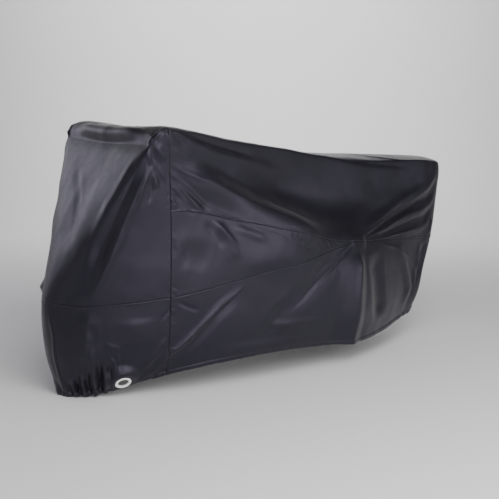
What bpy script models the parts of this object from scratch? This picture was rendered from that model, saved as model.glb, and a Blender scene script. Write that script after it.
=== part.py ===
"""A fitted cover for a bicycle or a light motorcycle, hanging as it does over the vehicle.

The cover is one hollow skin of coated cloth. The front of the vehicle is at -X, the near side
at -Y and up is +Z. Its face is drawn once, by a table of lines that run round the cover, and
the panels a maker would cut are parts of that face: each panel ends where its seam runs.

Two numbers name a place on the face:
  turn   0 at the middle of the front, 4 at the bar end, 8 at the pinch, 12 at the middle of
         the back; the near side has turn above 0 and the far side has turn below 0
  drop   0 on the line along the top, 6 at the hem
"""
import bpy
import numpy as np

CLOTH = 0.0020          # thickness of the cloth
SEAM_GAP = 0.0003       # room left between two panels at a seam
SHIFT = (-0.0159, 0.0001, -0.0377)  # puts the lowest hem on the floor, under the middle of the cover

BAR = 4.0               # turn of the seam that runs down from each bar end
BACK = 12.0             # turn of the middle of the back
UPPER = 3.0             # drop of the upper seam
LOWER = 4.0             # drop of the seam under the hood
HEM = 6.0               # drop of the hem
WEDGE_END = 7.9         # turn at which the lower seam meets the upper one
WEDGE_TIP = 7.85        # turn of the last column of the wedge between them

# The mesh. Each row: where a stretch of columns or rows ends, and how many it has.
COLUMNS = ((2.50, 14), (3.22, 5), (4.0, 5), (5.0, 7), (6.0, 7), (7.0, 5), (7.70, 4), (7.85, 1),
           (8.0, 1), (9.0, 5), (10.0, 5), (11.0, 4), (12.0, 4))
ROWS = ((1.0, 4), (2.0, 5), (3.0, 5), (4.0, 4), (5.0, 4), (6.0, 5))
EYELET_WINDOW = (2.50, 3.22)            # turns between which the mesh turns round an eyelet

# The lines round one side of the cover. Each row is a line at one drop, and holds a point for
# each turn from 0 to 12: distance along the cover, distance out from its middle, height.
LINES = {
    "top": (
        (-0.672, 0, 1.082), (-0.666, 0, 1.083), (-0.656, 0, 1.083), (-0.642, 0, 1.081),
        (-0.620, 0, 1.073), (-0.300, 0, 1.000), (0.000, 0, 0.962), (0.220, 0, 0.943),
        (0.450, 0, 0.930), (0.680, 0, 0.918), (0.880, 0, 0.905), (0.935, 0, 0.900),
        (0.960, 0, 0.896)),
    "shoulder": (
        (-0.712, 0, 1.020), (-0.712, 0.199, 1.024), (-0.709, 0.330, 1.030), (-0.691, 0.371, 1.045),
        (-0.640, 0.381, 1.072), (-0.300, 0.286, 1.020), (0.000, 0.212, 0.975),
        (0.220, 0.168, 0.938), (0.450, 0.150, 0.908), (0.680, 0.132, 0.896), (0.905, 0.125, 0.885),
        (0.988, 0.092, 0.874), (1.005, 0, 0.870)),
    "waist": (
        (-0.800, 0, 0.850), (-0.800, 0.150, 0.850), (-0.789, 0.273, 0.850), (-0.723, 0.323, 0.880),
        (-0.612, 0.339, 0.905), (-0.300, 0.284, 0.860), (0.010, 0.202, 0.800),
        (0.215, 0.182, 0.755), (0.430, 0.176, 0.725), (0.650, 0.167, 0.705), (0.888, 0.130, 0.690),
        (0.992, 0.082, 0.690), (1.012, 0, 0.690)),
    "upper": (
        (-0.900, 0, 0.640), (-0.887, 0.119, 0.645), (-0.835, 0.220, 0.680), (-0.729, 0.288, 0.730),
        (-0.597, 0.315, 0.766), (-0.300, 0.317, 0.715), (-0.020, 0.331, 0.645),
        (0.165, 0.296, 0.597), (0.360, 0.262, 0.567), (0.600, 0.198, 0.550), (0.862, 0.124, 0.522),
        (0.960, 0.086, 0.510), (0.985, 0, 0.508)),
    "lower": (
        (-0.980, 0, 0.425), (-0.950, 0.087, 0.420), (-0.869, 0.173, 0.415), (-0.735, 0.245, 0.425),
        (-0.585, 0.283, 0.434), (-0.300, 0.308, 0.430), (-0.020, 0.320, 0.420),
        (0.180, 0.311, 0.410), (0.370, 0.293, 0.400), (0.590, 0.205, 0.390), (0.825, 0.116, 0.375),
        (0.920, 0.086, 0.370), (0.945, 0, 0.368)),
    "knee": (
        (-0.972, 0, 0.200), (-0.946, 0.073, 0.198), (-0.868, 0.147, 0.200), (-0.740, 0.213, 0.215),
        (-0.580, 0.255, 0.235), (-0.290, 0.294, 0.260), (-0.020, 0.305, 0.260),
        (0.190, 0.301, 0.250), (0.375, 0.291, 0.240), (0.580, 0.208, 0.240), (0.795, 0.115, 0.245),
        (0.885, 0.086, 0.245), (0.910, 0, 0.245)),
    "hem": (
        (-0.930, 0, 0.038), (-0.900, 0.064, 0.040), (-0.830, 0.110, 0.046), (-0.720, 0.162, 0.074),
        (-0.575, 0.223, 0.112), (-0.290, 0.273, 0.141), (-0.020, 0.282, 0.145),
        (0.200, 0.278, 0.133), (0.380, 0.266, 0.120), (0.570, 0.199, 0.128), (0.765, 0.112, 0.150),
        (0.848, 0.069, 0.156), (0.868, 0, 0.158)),
}
# How sharply the cloth turns where it crosses each line: 0 is a smooth curve, 1 a crease.
SHARP = (0.0, 0.55, 0.0, 0.1, 0.15, 0.0, 0.0)
# Folds of the cloth. Each row: the way it runs, as (turn, drop) places; how far it stands out
# (a trough stands in, below 0); how far it spreads to the left and to the right of its way,
# looking along it from outside; and how sharp its crest is, from 0 to 1. Lengths in millimetres.
NEAR_FOLDS = (
    # the front of the hood, between the bar end and the nose
    (((3.2, 1.5), (2.9, 2.05), (2.65, 2.6), (2.5, 3.1), (2.25, 3.5), (1.9, 3.97)), 15, 45, 35, 0.7),
    (((2.5, 1.35), (2.45, 1.9), (2.25, 2.5), (2.05, 3.1), (1.9, 3.6)), -15, 50, 45, 0.1),
    (((2.0, 1.1), (2.1, 1.55), (2.05, 2.0), (1.85, 2.5), (1.6, 3.0)), 5, 70, 60, 0.2),
    (((2.05, 1.0), (3.1, 0.95), (3.9, 0.93)), 7, 25, 25, 0.9),
    (((3.15, 1.3), (3.28, 1.78)), -6, 22, 22, 0.3),
    (((3.3, 1.25), (3.9, 1.66)), 6, 22, 22, 0.7),
    (((3.45, 1.8), (3.6, 2.25)), 6, 25, 25, 0.3),
    # from the bar end back and down to the pinch
    (((4.1, 1.75), (4.6, 2.1), (5.3, 2.54), (6.3, 2.84), (7.3, 2.96)), 27, 70, 80, 0.2),
    (((4.05, 1.95), (4.3, 2.4), (4.6, 2.93)), -5, 28, 28, 0.5),
    (((4.05, 2.12), (4.25, 2.55), (4.5, 3.0)), 5, 26, 26, 0.5),
    (((4.05, 2.4), (4.2, 2.7), (4.38, 3.02)), -4, 24, 24, 0.5),
    (((4.66, 3.03), (4.85, 3.28), (5.05, 3.55)), 5, 30, 55, 0.5),
    (((5.0, 3.62), (5.7, 3.5), (6.5, 3.36)), 4, 80, 60, 0.1),
    (((4.1, 3.5), (4.6, 3.55)), -4, 80, 60, 0.0),
    # the hollow under the top and the creases that run back along it
    (((5.5, 1.95), (6.2, 2.1), (7.0, 2.3), (7.9, 2.5)), -11, 120, 110, 0.0),
    (((8.0, 1.75), (9.0, 1.6), (10.0, 1.5)), -7, 70, 70, 0.0),
    (((4.25, 1.2), (4.7, 1.42), (5.5, 1.53), (6.15, 1.62)), 7, 30, 50, 0.6),
    (((4.2, 1.05), (4.65, 1.27), (5.4, 1.38)), -10, 28, 24, 0.4),
    # from the back corner down and forward to the pinch
    (((10.85, 1.3), (10.0, 1.62), (9.1, 2.0), (8.1, 2.85)), 13, 38, 45, 0.6),
    (((10.9, 1.5), (10.0, 1.88), (9.15, 2.2), (8.25, 2.9)), -5, 32, 32, 0.4),
    (((10.9, 1.75), (10.1, 2.1), (9.2, 2.45), (8.4, 2.92)), 7, 34, 34, 0.6),
    (((10.7, 2.05), (10.0, 2.4), (9.3, 2.65), (8.6, 2.95)), -4, 30, 30, 0.4),
    (((10.6, 2.4), (9.9, 2.7), (9.2, 2.93)), 4, 30, 30, 0.4),
    (((7.7, 2.98), (8.25, 2.98)), 9, 60, 60, 0.1),
    # under the pinch
    (((7.8, 3.1), (7.2, 3.35), (6.6, 3.75), (5.75, 4.68), (5.3, 5.6)), -9, 85, 55, 0.4),
    (((8.0, 3.05), (7.85, 3.98), (7.75, 5.0), (7.65, 6.0)), 19, 60, 130, 0.5),
    (((8.5, 3.3), (8.6, 4.2), (8.75, 5.4)), -17, 70, 90, 0.0),
    (((9.15, 3.15), (9.6, 3.75), (9.95, 4.65), (9.8, 5.6)), 10, 40, 50, 0.5),
    (((10.0, 3.06), (10.1, 3.6), (10.2, 4.3)), 4, 30, 30, 0.5),
    (((10.4, 3.03), (10.5, 3.7), (10.55, 4.4)), -7, 34, 34, 0.4),
    # low on the side, running forward to the hem
    (((5.15, 3.86), (4.75, 4.3), (4.35, 4.82), (3.9, 5.4), (3.45, 5.85)), 6, 22, 30, 0.7),
    (((5.1, 4.1), (4.7, 4.55), (4.3, 5.1), (3.95, 5.6)), -4, 30, 34, 0.3),
    (((3.95, 4.75), (3.7, 5.15), (3.4, 5.55)), 5, 24, 24, 0.6),
    (((4.6, 5.6), (5.6, 5.7), (6.6, 5.72)), 4, 40, 40, 0.0),
    # the corner beside the front wheel
    (((2.0, 4.06), (1.95, 4.6), (1.9, 5.2)), 8, 60, 70, 0.4),
    (((3.2, 4.3), (3.3, 4.9)), 4, 90, 90, 0.0),
)
FAR_FOLDS = (
    (((-3.1, 1.6), (-2.8, 2.2), (-2.5, 2.9), (-2.1, 3.5), (-1.8, 3.95)), 14, 35, 45, 0.6),
    (((-2.3, 1.25), (-2.0, 2.0), (-1.7, 2.8)), -6, 45, 45, 0.1),
    (((-2.1, 1.0), (-3.1, 0.95), (-3.9, 0.94)), 6, 25, 25, 0.9),
    (((-0.5, 3.78), (-1.0, 3.84), (-1.7, 3.9)), 13, 30, 45, 0.5),
    (((-4.1, 1.85), (-4.7, 2.25), (-5.5, 2.6), (-6.6, 2.88), (-7.6, 2.97)), 15, 80, 70, 0.2),
    (((-4.05, 2.1), (-4.35, 2.55), (-4.7, 2.95)), -7, 30, 30, 0.4),
    (((-4.05, 2.35), (-4.25, 2.7), (-4.5, 3.02)), 7, 28, 28, 0.5),
    (((-5.0, 1.8), (-6.0, 2.1), (-7.5, 2.4)), -21, 100, 110, 0.1),
    (((-4.3, 1.25), (-4.9, 1.45), (-5.8, 1.55)), 7, 45, 30, 0.5),
    (((-10.8, 1.4), (-9.9, 1.8), (-9.0, 2.2), (-8.3, 2.8)), 11, 45, 38, 0.6),
    (((-10.8, 1.7), (-9.9, 2.1), (-9.1, 2.5), (-8.5, 2.9)), -8, 34, 34, 0.4),
    (((-10.7, 2.05), (-9.9, 2.4), (-9.0, 2.85)), 7, 34, 34, 0.5),
    (((-8.1, 2.98), (-8.3, 2.98)), 12, 60, 60, 0.6),
    (((-8.0, 3.1), (-7.3, 3.5), (-6.5, 4.2), (-6.0, 4.9)), -14, 50, 75, 0.4),
    (((-8.2, 3.05), (-8.1, 4.0), (-7.95, 5.0), (-7.9, 6.0)), 13, 120, 60, 0.4),
    (((-8.8, 3.4), (-8.9, 4.3), (-9.0, 5.3)), -11, 70, 70, 0.0),
    (((-9.9, 3.2), (-10.0, 4.0), (-10.0, 5.2)), 8, 45, 45, 0.4),
    (((-5.6, 3.9), (-5.1, 4.5), (-4.6, 5.1), (-4.2, 5.8)), 10, 38, 32, 0.6),
    (((-5.4, 4.2), (-4.9, 4.8), (-4.5, 5.4)), -7, 34, 34, 0.4),
    (((-4.5, 3.3), (-5.4, 3.5), (-6.4, 3.4)), 8, 60, 70, 0.1),
    (((-2.0, 4.06), (-1.95, 4.7), (-1.9, 5.3)), 8, 70, 60, 0.4),
    (((-3.0, 4.2), (-3.3, 5.0)), 7, 80, 80, 0.0),
)
MIDDLE_FOLDS = (
    (((-3.5, 0.66), (-2.0, 0.56), (0.0, 0.5), (2.0, 0.56), (3.3, 0.68)), 17, 40, 40, 0.0),
    (((-4.0, 1.02), (-3.0, 1.02), (-2.0, 1.02), (-1.0, 1.0), (0.3, 1.0)), -9, 45, 50, 0.7),
    (((-0.3, 1.0), (1.0, 1.0), (2.0, 1.02), (3.0, 1.03), (4.0, 1.04)), -9, 45, 50, 0.7),
    (((0.3, 1.6), (0.1, 2.4), (0.0, 3.2)), -5, 90, 90, 0.0),
    (((11.4, 1.6), (11.7, 2.6)), -5, 50, 50, 0.0),
    (((11.6, 3.1), (11.5, 4.4), (11.3, 5.6)), 6, 35, 35, 0.3),
    (((-11.2, 3.0), (-11.4, 4.5), (-11.3, 5.8)), 5, 40, 40, 0.3),
    (((11.9, 3.3), (11.95, 4.6), (11.9, 5.5)), -5, 35, 35, 0.2),
)
# Gathers that the elastic draws up along the hem. Each row: the turn of its deepest place at
# the hem, the drop where it dies away, how far it stands in or out and how far it spreads.
GATHERS = (
    (-2.05, 5.15, 9, 22), (-1.78, 5.30, -10, 20), (-1.45, 5.05, 10, 24), (-1.15, 5.25, -9, 20),
    (-0.80, 5.30, 5, 24), (-0.45, 5.45, -4, 20), (-0.10, 5.35, 4, 24), (0.25, 5.50, -4, 20),
    (0.58, 5.30, 5, 24), (0.95, 5.45, -8, 18), (1.18, 5.35, 10, 18), (1.40, 5.25, -14, 17),
    (1.62, 4.95, 12, 18), (1.83, 5.20, -9, 14), (2.04, 4.60, 18, 19), (2.22, 4.85, -22, 15),
    (2.37, 5.05, 12, 12), (2.52, 4.95, -18, 14),
)
GATHER_HELD = 0.4      # share of its height that a gather keeps at the hem itself

# The eyelets near the hem, one on each side of the front. Their rings hold the cloth flat.
EYELET_TURN = 2.86
EYELET_WAY = (-0.127, -0.770, -0.624)   # the way the near eyelet faces
EYELET_UP_HEM = 0.038                   # from the hem to the middle of the eyelet
EYELET_FLAT = (0.046, 0.085)            # the cloth is flat to the first, free past the second
CLOTH_HOLE = 0.0245
CLOTH_DISC = 0.0345
RING_SIDES = 40
# The ring's section, walked round: out from its middle and up from the cloth's face.
RING_SECTION = (
    (0.0210, -0.0030), (0.0220, -0.0036), (0.0300, -0.0032), (0.0306, -0.0023),
    (0.0237, -0.0023), (0.0237, 0.0003), (0.0320, 0.0003), (0.0320, 0.0010),
    (0.0305, 0.0020), (0.0260, 0.0027), (0.0222, 0.0023), (0.0210, 0.0014))


def between(start, end, leave, arrive, share):
    """A smooth curve from start to end, with a direction to leave in and one to arrive in."""
    share = share[..., None]
    square = share * share
    cube = square * share
    curve = (2 * cube - 3 * square + 1) * start + (cube - 2 * square + share) * leave
    return curve + (3 * square - 2 * cube) * end + (cube - square) * arrive


def lines_at(turn):
    """Where each line of the table is at the turns given, counted from the front."""
    table = np.array([LINES[name] for name in LINES], float)
    mirror = np.array([1.0, -1.0, 1.0])
    rows = np.concatenate([table[:, 1:2] * mirror, table, table[:, -2:-1] * mirror], axis=1)
    step = np.linalg.norm(np.diff(rows[2:6].mean(0), axis=0), axis=1)
    slope = np.diff(rows, axis=1) / step[None, :, None]
    course = slope[:, :-1] * step[None, 1:, None] + slope[:, 1:] * step[None, :-1, None]
    course = course / (step[:-1] + step[1:])[None, :, None]
    first = np.clip(turn.astype(int), 0, table.shape[1] - 2)
    share = np.broadcast_to(turn - first, (len(table), len(turn)))
    length = step[first + 1][None, :, None]
    return between(rows[:, first + 1], rows[:, first + 2], course[:, first] * length,
                   course[:, first + 1] * length, share)


def smooth_face(turn, drop):
    """Points of the face without its folds."""
    turn, drop = np.broadcast_arrays(np.asarray(turn, float), np.asarray(drop, float))
    shape = turn.shape
    turn = (turn.ravel() + BACK) % (2 * BACK) - BACK
    drop = drop.ravel()
    line = lines_at(np.abs(turn))
    gap = np.linalg.norm(np.diff(line, axis=0), axis=2) + 1e-9
    slope = np.diff(line, axis=0) / gap[..., None]
    course = np.empty_like(line)
    course[1:-1] = slope[:-1] * gap[1:, :, None] + slope[1:] * gap[:-1, :, None]
    course[1:-1] /= (gap[:-1] + gap[1:])[..., None]
    level = (line[1] - line[0]) * [1.0, 1.0, 0.0]
    course[0] = level / (np.linalg.norm(level, axis=1)[:, None] + 1e-9)
    course[-1] = slope[-1]
    course *= (1.0 - np.array(SHARP))[:, None, None]
    first = np.clip(drop.astype(int), 0, len(LINES) - 2)
    each = np.arange(len(turn))
    length = gap[first, each][:, None]
    point = between(line[first, each], line[first + 1, each], course[first, each] * length,
                    course[first + 1, each] * length, drop - first)
    point[:, 1] *= np.where(turn < 0, 1.0, -1.0)
    return point.reshape(shape + (3,))


def unit(way):
    """The same ways, each one unit long."""
    return way / (np.linalg.norm(way, axis=-1, keepdims=True) + 1e-12)


def normal_of(shape, turn, drop, reach=0.012):
    """The way a face looks, from four places close round each place on it."""
    low = np.maximum(drop, 0.04)
    across = shape(turn + reach, low) - shape(turn - reach, low)
    down = shape(turn, np.minimum(low + reach, HEM)) - shape(turn, low - reach)
    way = np.cross(down, across)
    way[..., 1] = np.where(drop > 0, way[..., 1], 0.0)
    return unit(way)


def fold_rows():
    """Every fold: points of its way, lift, two spreads, crest, fade and share left at the hem."""
    rows = []
    for way, lift, left, right, crest in NEAR_FOLDS + FAR_FOLDS + MIDDLE_FOLDS:
        rows.append((np.array(way, float), lift, left, right, crest, 0.25, 1.0))
    for turn, end, lift, spread in GATHERS:
        way = np.array(((turn, HEM), (turn * 1.01, (HEM + end) / 2), (turn * 1.03, end)))
        rows.append((way, lift, spread, spread, 0.4, 0.9, GATHER_HELD))
    return rows


def fold_lift(point, way_out):
    """How far the folds move each point along the way the smooth face looks."""
    lift = np.zeros(len(point))
    for way, height, left, right, crest, fade, held in fold_rows():
        steps = np.linspace(0.0, len(way) - 1.0, 4 * (len(way) - 1) + 1)
        turn = np.interp(steps, np.arange(len(way)), way[:, 0])
        drop = np.interp(steps, np.arange(len(way)), way[:, 1])
        path = smooth_face(turn, drop)
        leg = np.diff(path, axis=0)
        far = np.concatenate([[0.0], np.cumsum(np.linalg.norm(leg, axis=1))])
        reach = max(left, right) / 1000.0
        box = (point > path.min(0) - reach) & (point < path.max(0) + reach)
        near = np.flatnonzero(box.all(axis=1))
        if not len(near):
            continue
        start = point[near, None] - path[None, :-1]
        share = np.clip((start * leg).sum(2) / (leg * leg).sum(1), 0.0, 1.0)
        away = start - share[..., None] * leg
        gap = np.linalg.norm(away, axis=2)
        best = gap.argmin(axis=1)
        each = np.arange(len(near))
        side = (np.cross(way_out[near], leg[best]) * away[each, best]).sum(1)
        spread = np.where(side > 0, left, right) / 1000.0
        ratio = np.clip(gap[each, best] / spread, 0.0, 1.0)
        round_part = (1.0 - ratio ** 2) ** 2
        sharp_part = (1.0 - ratio) ** 2
        along = (far[best] + share[each, best] * np.diff(far)[best]) / far[-1]
        rise = held + (1.0 - held) * ease(along / 0.3) if drop[0] >= HEM else ease(along / fade)
        fall = np.ones(len(near)) if drop[-1] >= HEM else ease((1.0 - along) / fade)
        size = (1.0 - crest) * round_part + crest * sharp_part
        lift[near] += height / 1000.0 * size * rise * fall
    return lift


def ease(share):
    """Goes smoothly from 0 to 1 as the share does, and stays there."""
    share = np.clip(share, 0.0, 1.0)
    return share * share * (3.0 - 2.0 * share)


def eyelet_frame(side):
    """The middle of an eyelet and the ways out, up and across it; side is 1 near, -1 far."""
    mirror = np.array([1.0, float(side), 1.0])
    way_out = unit(np.array(EYELET_WAY)) * mirror
    up = unit(np.array([0.0, 0.0, 1.0]) - way_out[2] * way_out)
    hem = smooth_face(side * EYELET_TURN, HEM)
    return hem + up * EYELET_UP_HEM, way_out, up, np.cross(up, way_out)


def face(turn, drop):
    """Points of the outer face of the cloth, with its folds."""
    turn, drop = np.broadcast_arrays(np.asarray(turn, float), np.asarray(drop, float))
    point = smooth_face(turn, drop)
    way_out = normal_of(smooth_face, turn, drop)
    shape = point.shape
    point = point.reshape(-1, 3)
    way_out = way_out.reshape(-1, 3)
    point = point + fold_lift(point, way_out)[:, None] * way_out
    for side in (1, -1):
        middle, out, up, across = eyelet_frame(side)
        gap = np.linalg.norm(point - middle, axis=1)
        held = 1.0 - ease((gap - EYELET_FLAT[0]) / (EYELET_FLAT[1] - EYELET_FLAT[0]))
        point = point - (held * ((point - middle) @ out))[:, None] * out
    return point.reshape(shape) + SHIFT


def lower_seam(turn):
    """The drop of the lower seam: level under the hood, then up to meet the upper seam."""
    return LOWER - np.clip((np.abs(turn) - BAR) / (WEDGE_END - BAR), 0.0, 1.0) ** 1.3


def inset(turn, drop, turn_way, drop_way):
    """Places on a seam, moved half the seam's gap into their own panel."""
    here = face(turn, drop)
    reach = 0.01
    side = np.linalg.norm(face(turn + reach * turn_way, drop) - here, axis=-1) / reach
    down = np.linalg.norm(face(turn, drop + reach * drop_way) - here, axis=-1) / reach
    turn = turn + turn_way * SEAM_GAP / 2 / np.maximum(side, 1e-3)
    drop = drop + drop_way * SEAM_GAP / 2 / np.maximum(down, 1e-3)
    return turn, drop


def columns(first, last):
    """The turns at which the mesh has its columns, from first to last on the near side."""
    turns = [0.0]
    for end, count in COLUMNS:
        turns.extend(np.linspace(turns[-1], end, count + 1)[1:])
    turns = np.array(turns)
    return turns[(turns > first - 1e-6) & (turns < last + 1e-6)]


def both_sides(turns):
    """Near side turns with their far side twins, in order round the cover."""
    if turns[0] == 0:
        return np.concatenate([-turns[:0:-1], turns])
    return np.concatenate([turns, -turns[-2::-1]])


def rows(first, last):
    """The drops at which the mesh has its rows, from first to last."""
    drops = [0.0]
    for end, count in ROWS:
        drops.extend(np.linspace(drops[-1], end, count + 1)[1:])
    drops = np.array(drops)
    return drops[(drops > first - 1e-6) & (drops < last + 1e-6)]


def make_object(name, corners, faces, material):
    """A mesh object with one material."""
    mesh = bpy.data.meshes.new(name)
    mesh.from_pydata([tuple(corner) for corner in corners], [], [tuple(one) for one in faces])
    mesh.materials.append(material)
    mesh.update()
    thing = bpy.data.objects.new(name, mesh)
    bpy.context.collection.objects.link(thing)
    return thing


def make_panel(name, turn, drop, turn_way, drop_way, material, holes=()):
    """A sheet of cloth over a grid of places; the ways say which places are on a seam."""
    turn, drop = inset(turn, drop, turn_way, drop_way)
    known = {}
    number = np.zeros(turn.shape, int)
    for cell in np.ndindex(turn.shape):
        place = (abs(turn[cell]) if drop[cell] == 0 else turn[cell], drop[cell])
        place = (BACK, place[1]) if place[0] == -BACK else place
        number[cell] = known.setdefault((round(place[0], 7), round(place[1], 7)), len(known))
    places = np.array(list(known))
    outside = face(places[:, 0], places[:, 1])
    way_out = normal_of(face, places[:, 0], places[:, 1])
    quads = []
    for i, j in np.ndindex(turn.shape[0] - 1, turn.shape[1] - 1):
        if not any(a <= i < b and c <= j < d for a, b, c, d, side in holes):
            quads.append((number[i, j], number[i, j + 1], number[i + 1, j + 1],
                          number[i + 1, j]))
    outside = list(outside)
    way_out = list(way_out)
    for a, b, c, d, side in holes:
        ring = [number[i, c] for i in range(b, a, -1)] + [number[a, j] for j in range(c, d)]
        ring += [number[i, d] for i in range(a, b)] + [number[b, j] for j in range(d, c, -1)]
        middle, out, up, across = eyelet_frame(side)
        turns = np.radians(45.0) + np.arange(len(ring)) * 2 * np.pi / len(ring)
        for radius in (CLOTH_DISC, CLOTH_HOLE):
            circle = []
            for angle in turns:
                spot = middle + SHIFT + radius * (np.cos(angle) * across + np.sin(angle) * up)
                circle.append(len(outside))
                outside.append(spot)
                way_out.append(out)
            for k in range(len(ring)):
                following = (k + 1) % len(ring)
                quads.append((ring[k], ring[following], circle[following], circle[k]))
            ring = circle
    return make_sheet(name, np.array(outside), np.array(way_out), quads, material)


def make_sheet(name, outside, way_out, quads, material):
    """A closed solid as thick as the cloth, from its outer face."""
    inside = outside - CLOTH * way_out
    triangles = []
    for a, b, c, d in quads:
        if np.linalg.norm(outside[a] - outside[c]) <= np.linalg.norm(outside[b] - outside[d]):
            triangles += [(a, b, c), (a, c, d)]
        else:
            triangles += [(a, b, d), (b, c, d)]
    triangles = [one for one in triangles if len(set(one)) == 3]
    size = len(outside)
    faces = triangles + [(c + size, b + size, a + size) for a, b, c in triangles]
    edges = {(one[k], one[(k + 1) % 3]) for one in triangles for k in range(3)}
    lean = outside @ np.array([0.8, 0.1, 0.6])
    for a, b in sorted(edges):
        if (b, a) not in edges and lean[a] < lean[b]:
            faces += [(b, a, a + size), (b, a + size, b + size)]
        elif (b, a) not in edges:
            faces += [(b, a, b + size), (a, a + size, b + size)]
    return make_object(name, np.concatenate([outside, inside]), faces, material)


def make_ring(name, side, material):
    """An eyelet's ring, gripping the cloth round its hole."""
    middle, out, up, across = eyelet_frame(side)
    corners = []
    for k in range(RING_SIDES):
        angle = 2 * np.pi * k / RING_SIDES
        way = np.cos(angle) * across + np.sin(angle) * up
        corners += [middle + SHIFT + radius * way + height * out for radius, height in RING_SECTION]
    count = len(RING_SECTION)
    faces = []
    for k in range(RING_SIDES):
        here = k * count
        there = (k + 1) % RING_SIDES * count
        for j in range(count):
            after = (j + 1) % count
            faces.append((here + j, there + j, there + after, here + after))
    return make_object(name, corners, faces, material)


def make_material(name, colour, roughness):
    """A plain material; the colour is given as sRGB shares."""
    material = bpy.data.materials.new(name)
    material.use_nodes = True
    shader = material.node_tree.nodes["Principled BSDF"]
    linear = [share / 12.92 if share <= 0.04045 else ((share + 0.055) / 1.055) ** 2.4
              for share in colour]
    shader.inputs["Base Color"].default_value = (*linear, 1.0)
    shader.inputs["Roughness"].default_value = roughness
    return material


def grid(turns, drops):
    """Places at every turn and drop."""
    return np.meshgrid(turns, drops, indexing="ij")


def build():
    """Makes every piece of the cover."""
    for thing in list(bpy.data.objects):
        bpy.data.objects.remove(thing, do_unlink=True)
    cloth = make_material("coated_cloth", (0.16, 0.155, 0.19), 0.35)
    plastic = make_material("white_plastic", (0.92, 0.92, 0.92), 0.4)

    # The hood, over the handlebar and down the front.
    turn, drop = grid(both_sides(columns(0, BAR)), rows(0, LOWER))
    make_panel("hood", turn, drop, np.where(np.abs(turn) == BAR, -np.sign(turn), 0.0),
               np.where(drop == LOWER, -1.0, 0.0), cloth)

    # The body, over the saddle and down both sides to the upper seam.
    turn, drop = grid(both_sides(columns(BAR, BACK)), rows(0, UPPER))
    make_panel("body", turn, drop, np.where(np.abs(turn) == BAR, np.sign(turn), 0.0),
               np.where(drop == UPPER, -1.0, 0.0), cloth)

    # A wedge on each side between the two seams.
    for name, side in (("wedge_left", 1), ("wedge_right", -1)):
        turn, drop = grid(columns(BAR, WEDGE_TIP), rows(UPPER, LOWER))
        drop = UPPER + (drop - UPPER) * (lower_seam(turn) - UPPER) / (LOWER - UPPER)
        ways = np.where(drop == UPPER, 1.0, np.where(drop == lower_seam(turn), -1.0, 0.0))
        turn_way = np.where(turn == BAR, 1.0, 0.0)
        if side < 0:
            turn, drop, ways, turn_way = -turn[::-1], drop[::-1], ways[::-1], -turn_way[::-1]
        make_panel(name, turn, drop, turn_way, ways, cloth)

    # The skirt round the front wheel, which holds the eyelets.
    turns = both_sides(columns(0, BAR))
    drops = rows(LOWER, HEM)
    turn, drop = grid(turns, drops)
    size = len(drops) - 1
    holes = []
    for side in (1, -1):
        ends = sorted(np.argmin(np.abs(turns - side * end)) for end in EYELET_WINDOW)
        holes.append((ends[0], ends[1], size - (ends[1] - ends[0]), size, side))
    make_panel("skirt_front", turn, drop, np.where(np.abs(turn) == BAR, -np.sign(turn), 0.0),
               np.where(drop == LOWER, 1.0, 0.0), cloth, holes)

    # The skirt along both sides and round the back.
    turn, drop = grid(both_sides(columns(BAR, BACK)), rows(LOWER, HEM))
    seam = lower_seam(turn)
    top = drop == LOWER
    drop = seam + (drop - LOWER) * (HEM - seam) / (HEM - LOWER)
    make_panel("skirt_back", turn, drop, np.where(np.abs(turn) == BAR, np.sign(turn), 0.0),
               np.where(top, 1.0, 0.0), cloth)

    make_ring("eyelet_left", 1, plastic)
    make_ring("eyelet_right", -1, plastic)


build()
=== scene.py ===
# %% [markdown]
# A fitted cover for a bicycle or a light motorcycle is one skin of thin coated cloth, sewn from
# a few panels. It hangs from three places: the two ends of the handlebar and the tail. All that
# gives it its looks comes from that: flat stretched faces, long creases that run from one
# holding place to the next, and gathers where an elastic draws the hem in.
#
# This lesson builds it as a maker would: one smooth form first, then its folds, then the panels
# cut from it, then sewing, eyelets and finish.

# %% Load the frame
import math

import bpy
import numpy as np
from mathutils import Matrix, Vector


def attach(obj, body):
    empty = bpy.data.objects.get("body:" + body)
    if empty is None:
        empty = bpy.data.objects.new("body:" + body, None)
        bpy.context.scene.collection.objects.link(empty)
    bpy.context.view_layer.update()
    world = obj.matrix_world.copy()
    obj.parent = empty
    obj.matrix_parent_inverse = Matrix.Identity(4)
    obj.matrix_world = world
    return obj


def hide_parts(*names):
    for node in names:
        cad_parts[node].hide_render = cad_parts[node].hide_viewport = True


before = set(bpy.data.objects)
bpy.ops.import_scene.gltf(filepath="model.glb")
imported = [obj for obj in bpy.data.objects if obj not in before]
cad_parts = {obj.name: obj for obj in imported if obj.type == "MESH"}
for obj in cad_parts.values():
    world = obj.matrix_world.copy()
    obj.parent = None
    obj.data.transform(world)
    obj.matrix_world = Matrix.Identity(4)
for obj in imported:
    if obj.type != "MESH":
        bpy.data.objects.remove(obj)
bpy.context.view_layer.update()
print("nodes:", ", ".join(sorted(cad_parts)))

# %% [markdown]
# The form is drawn by lines that run round the cover, like the contour lines of a hill: one
# along the top, one at the hem, and five between. Each line holds a point for each of thirteen
# stations, from the middle of the front to the middle of the back. A place on the cloth has two
# numbers. Its *turn* says how far round it is, and its *drop* how far down. The far side has
# its turns below zero.

# %% Sizes and the lines of the form
BAR = 4.0         # turn of the seam that runs down from each bar end
BACK = 12.0       # turn of the middle of the back
UPPER = 3.0       # drop of the upper seam
LOWER = 4.0       # drop of the seam under the hood
HEM = 6.0         # drop of the hem
WEDGE_END = 7.9   # turn at which the lower seam meets the upper one
WEDGE_TIP = 7.85  # turn at which the wedge between them ends

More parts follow.
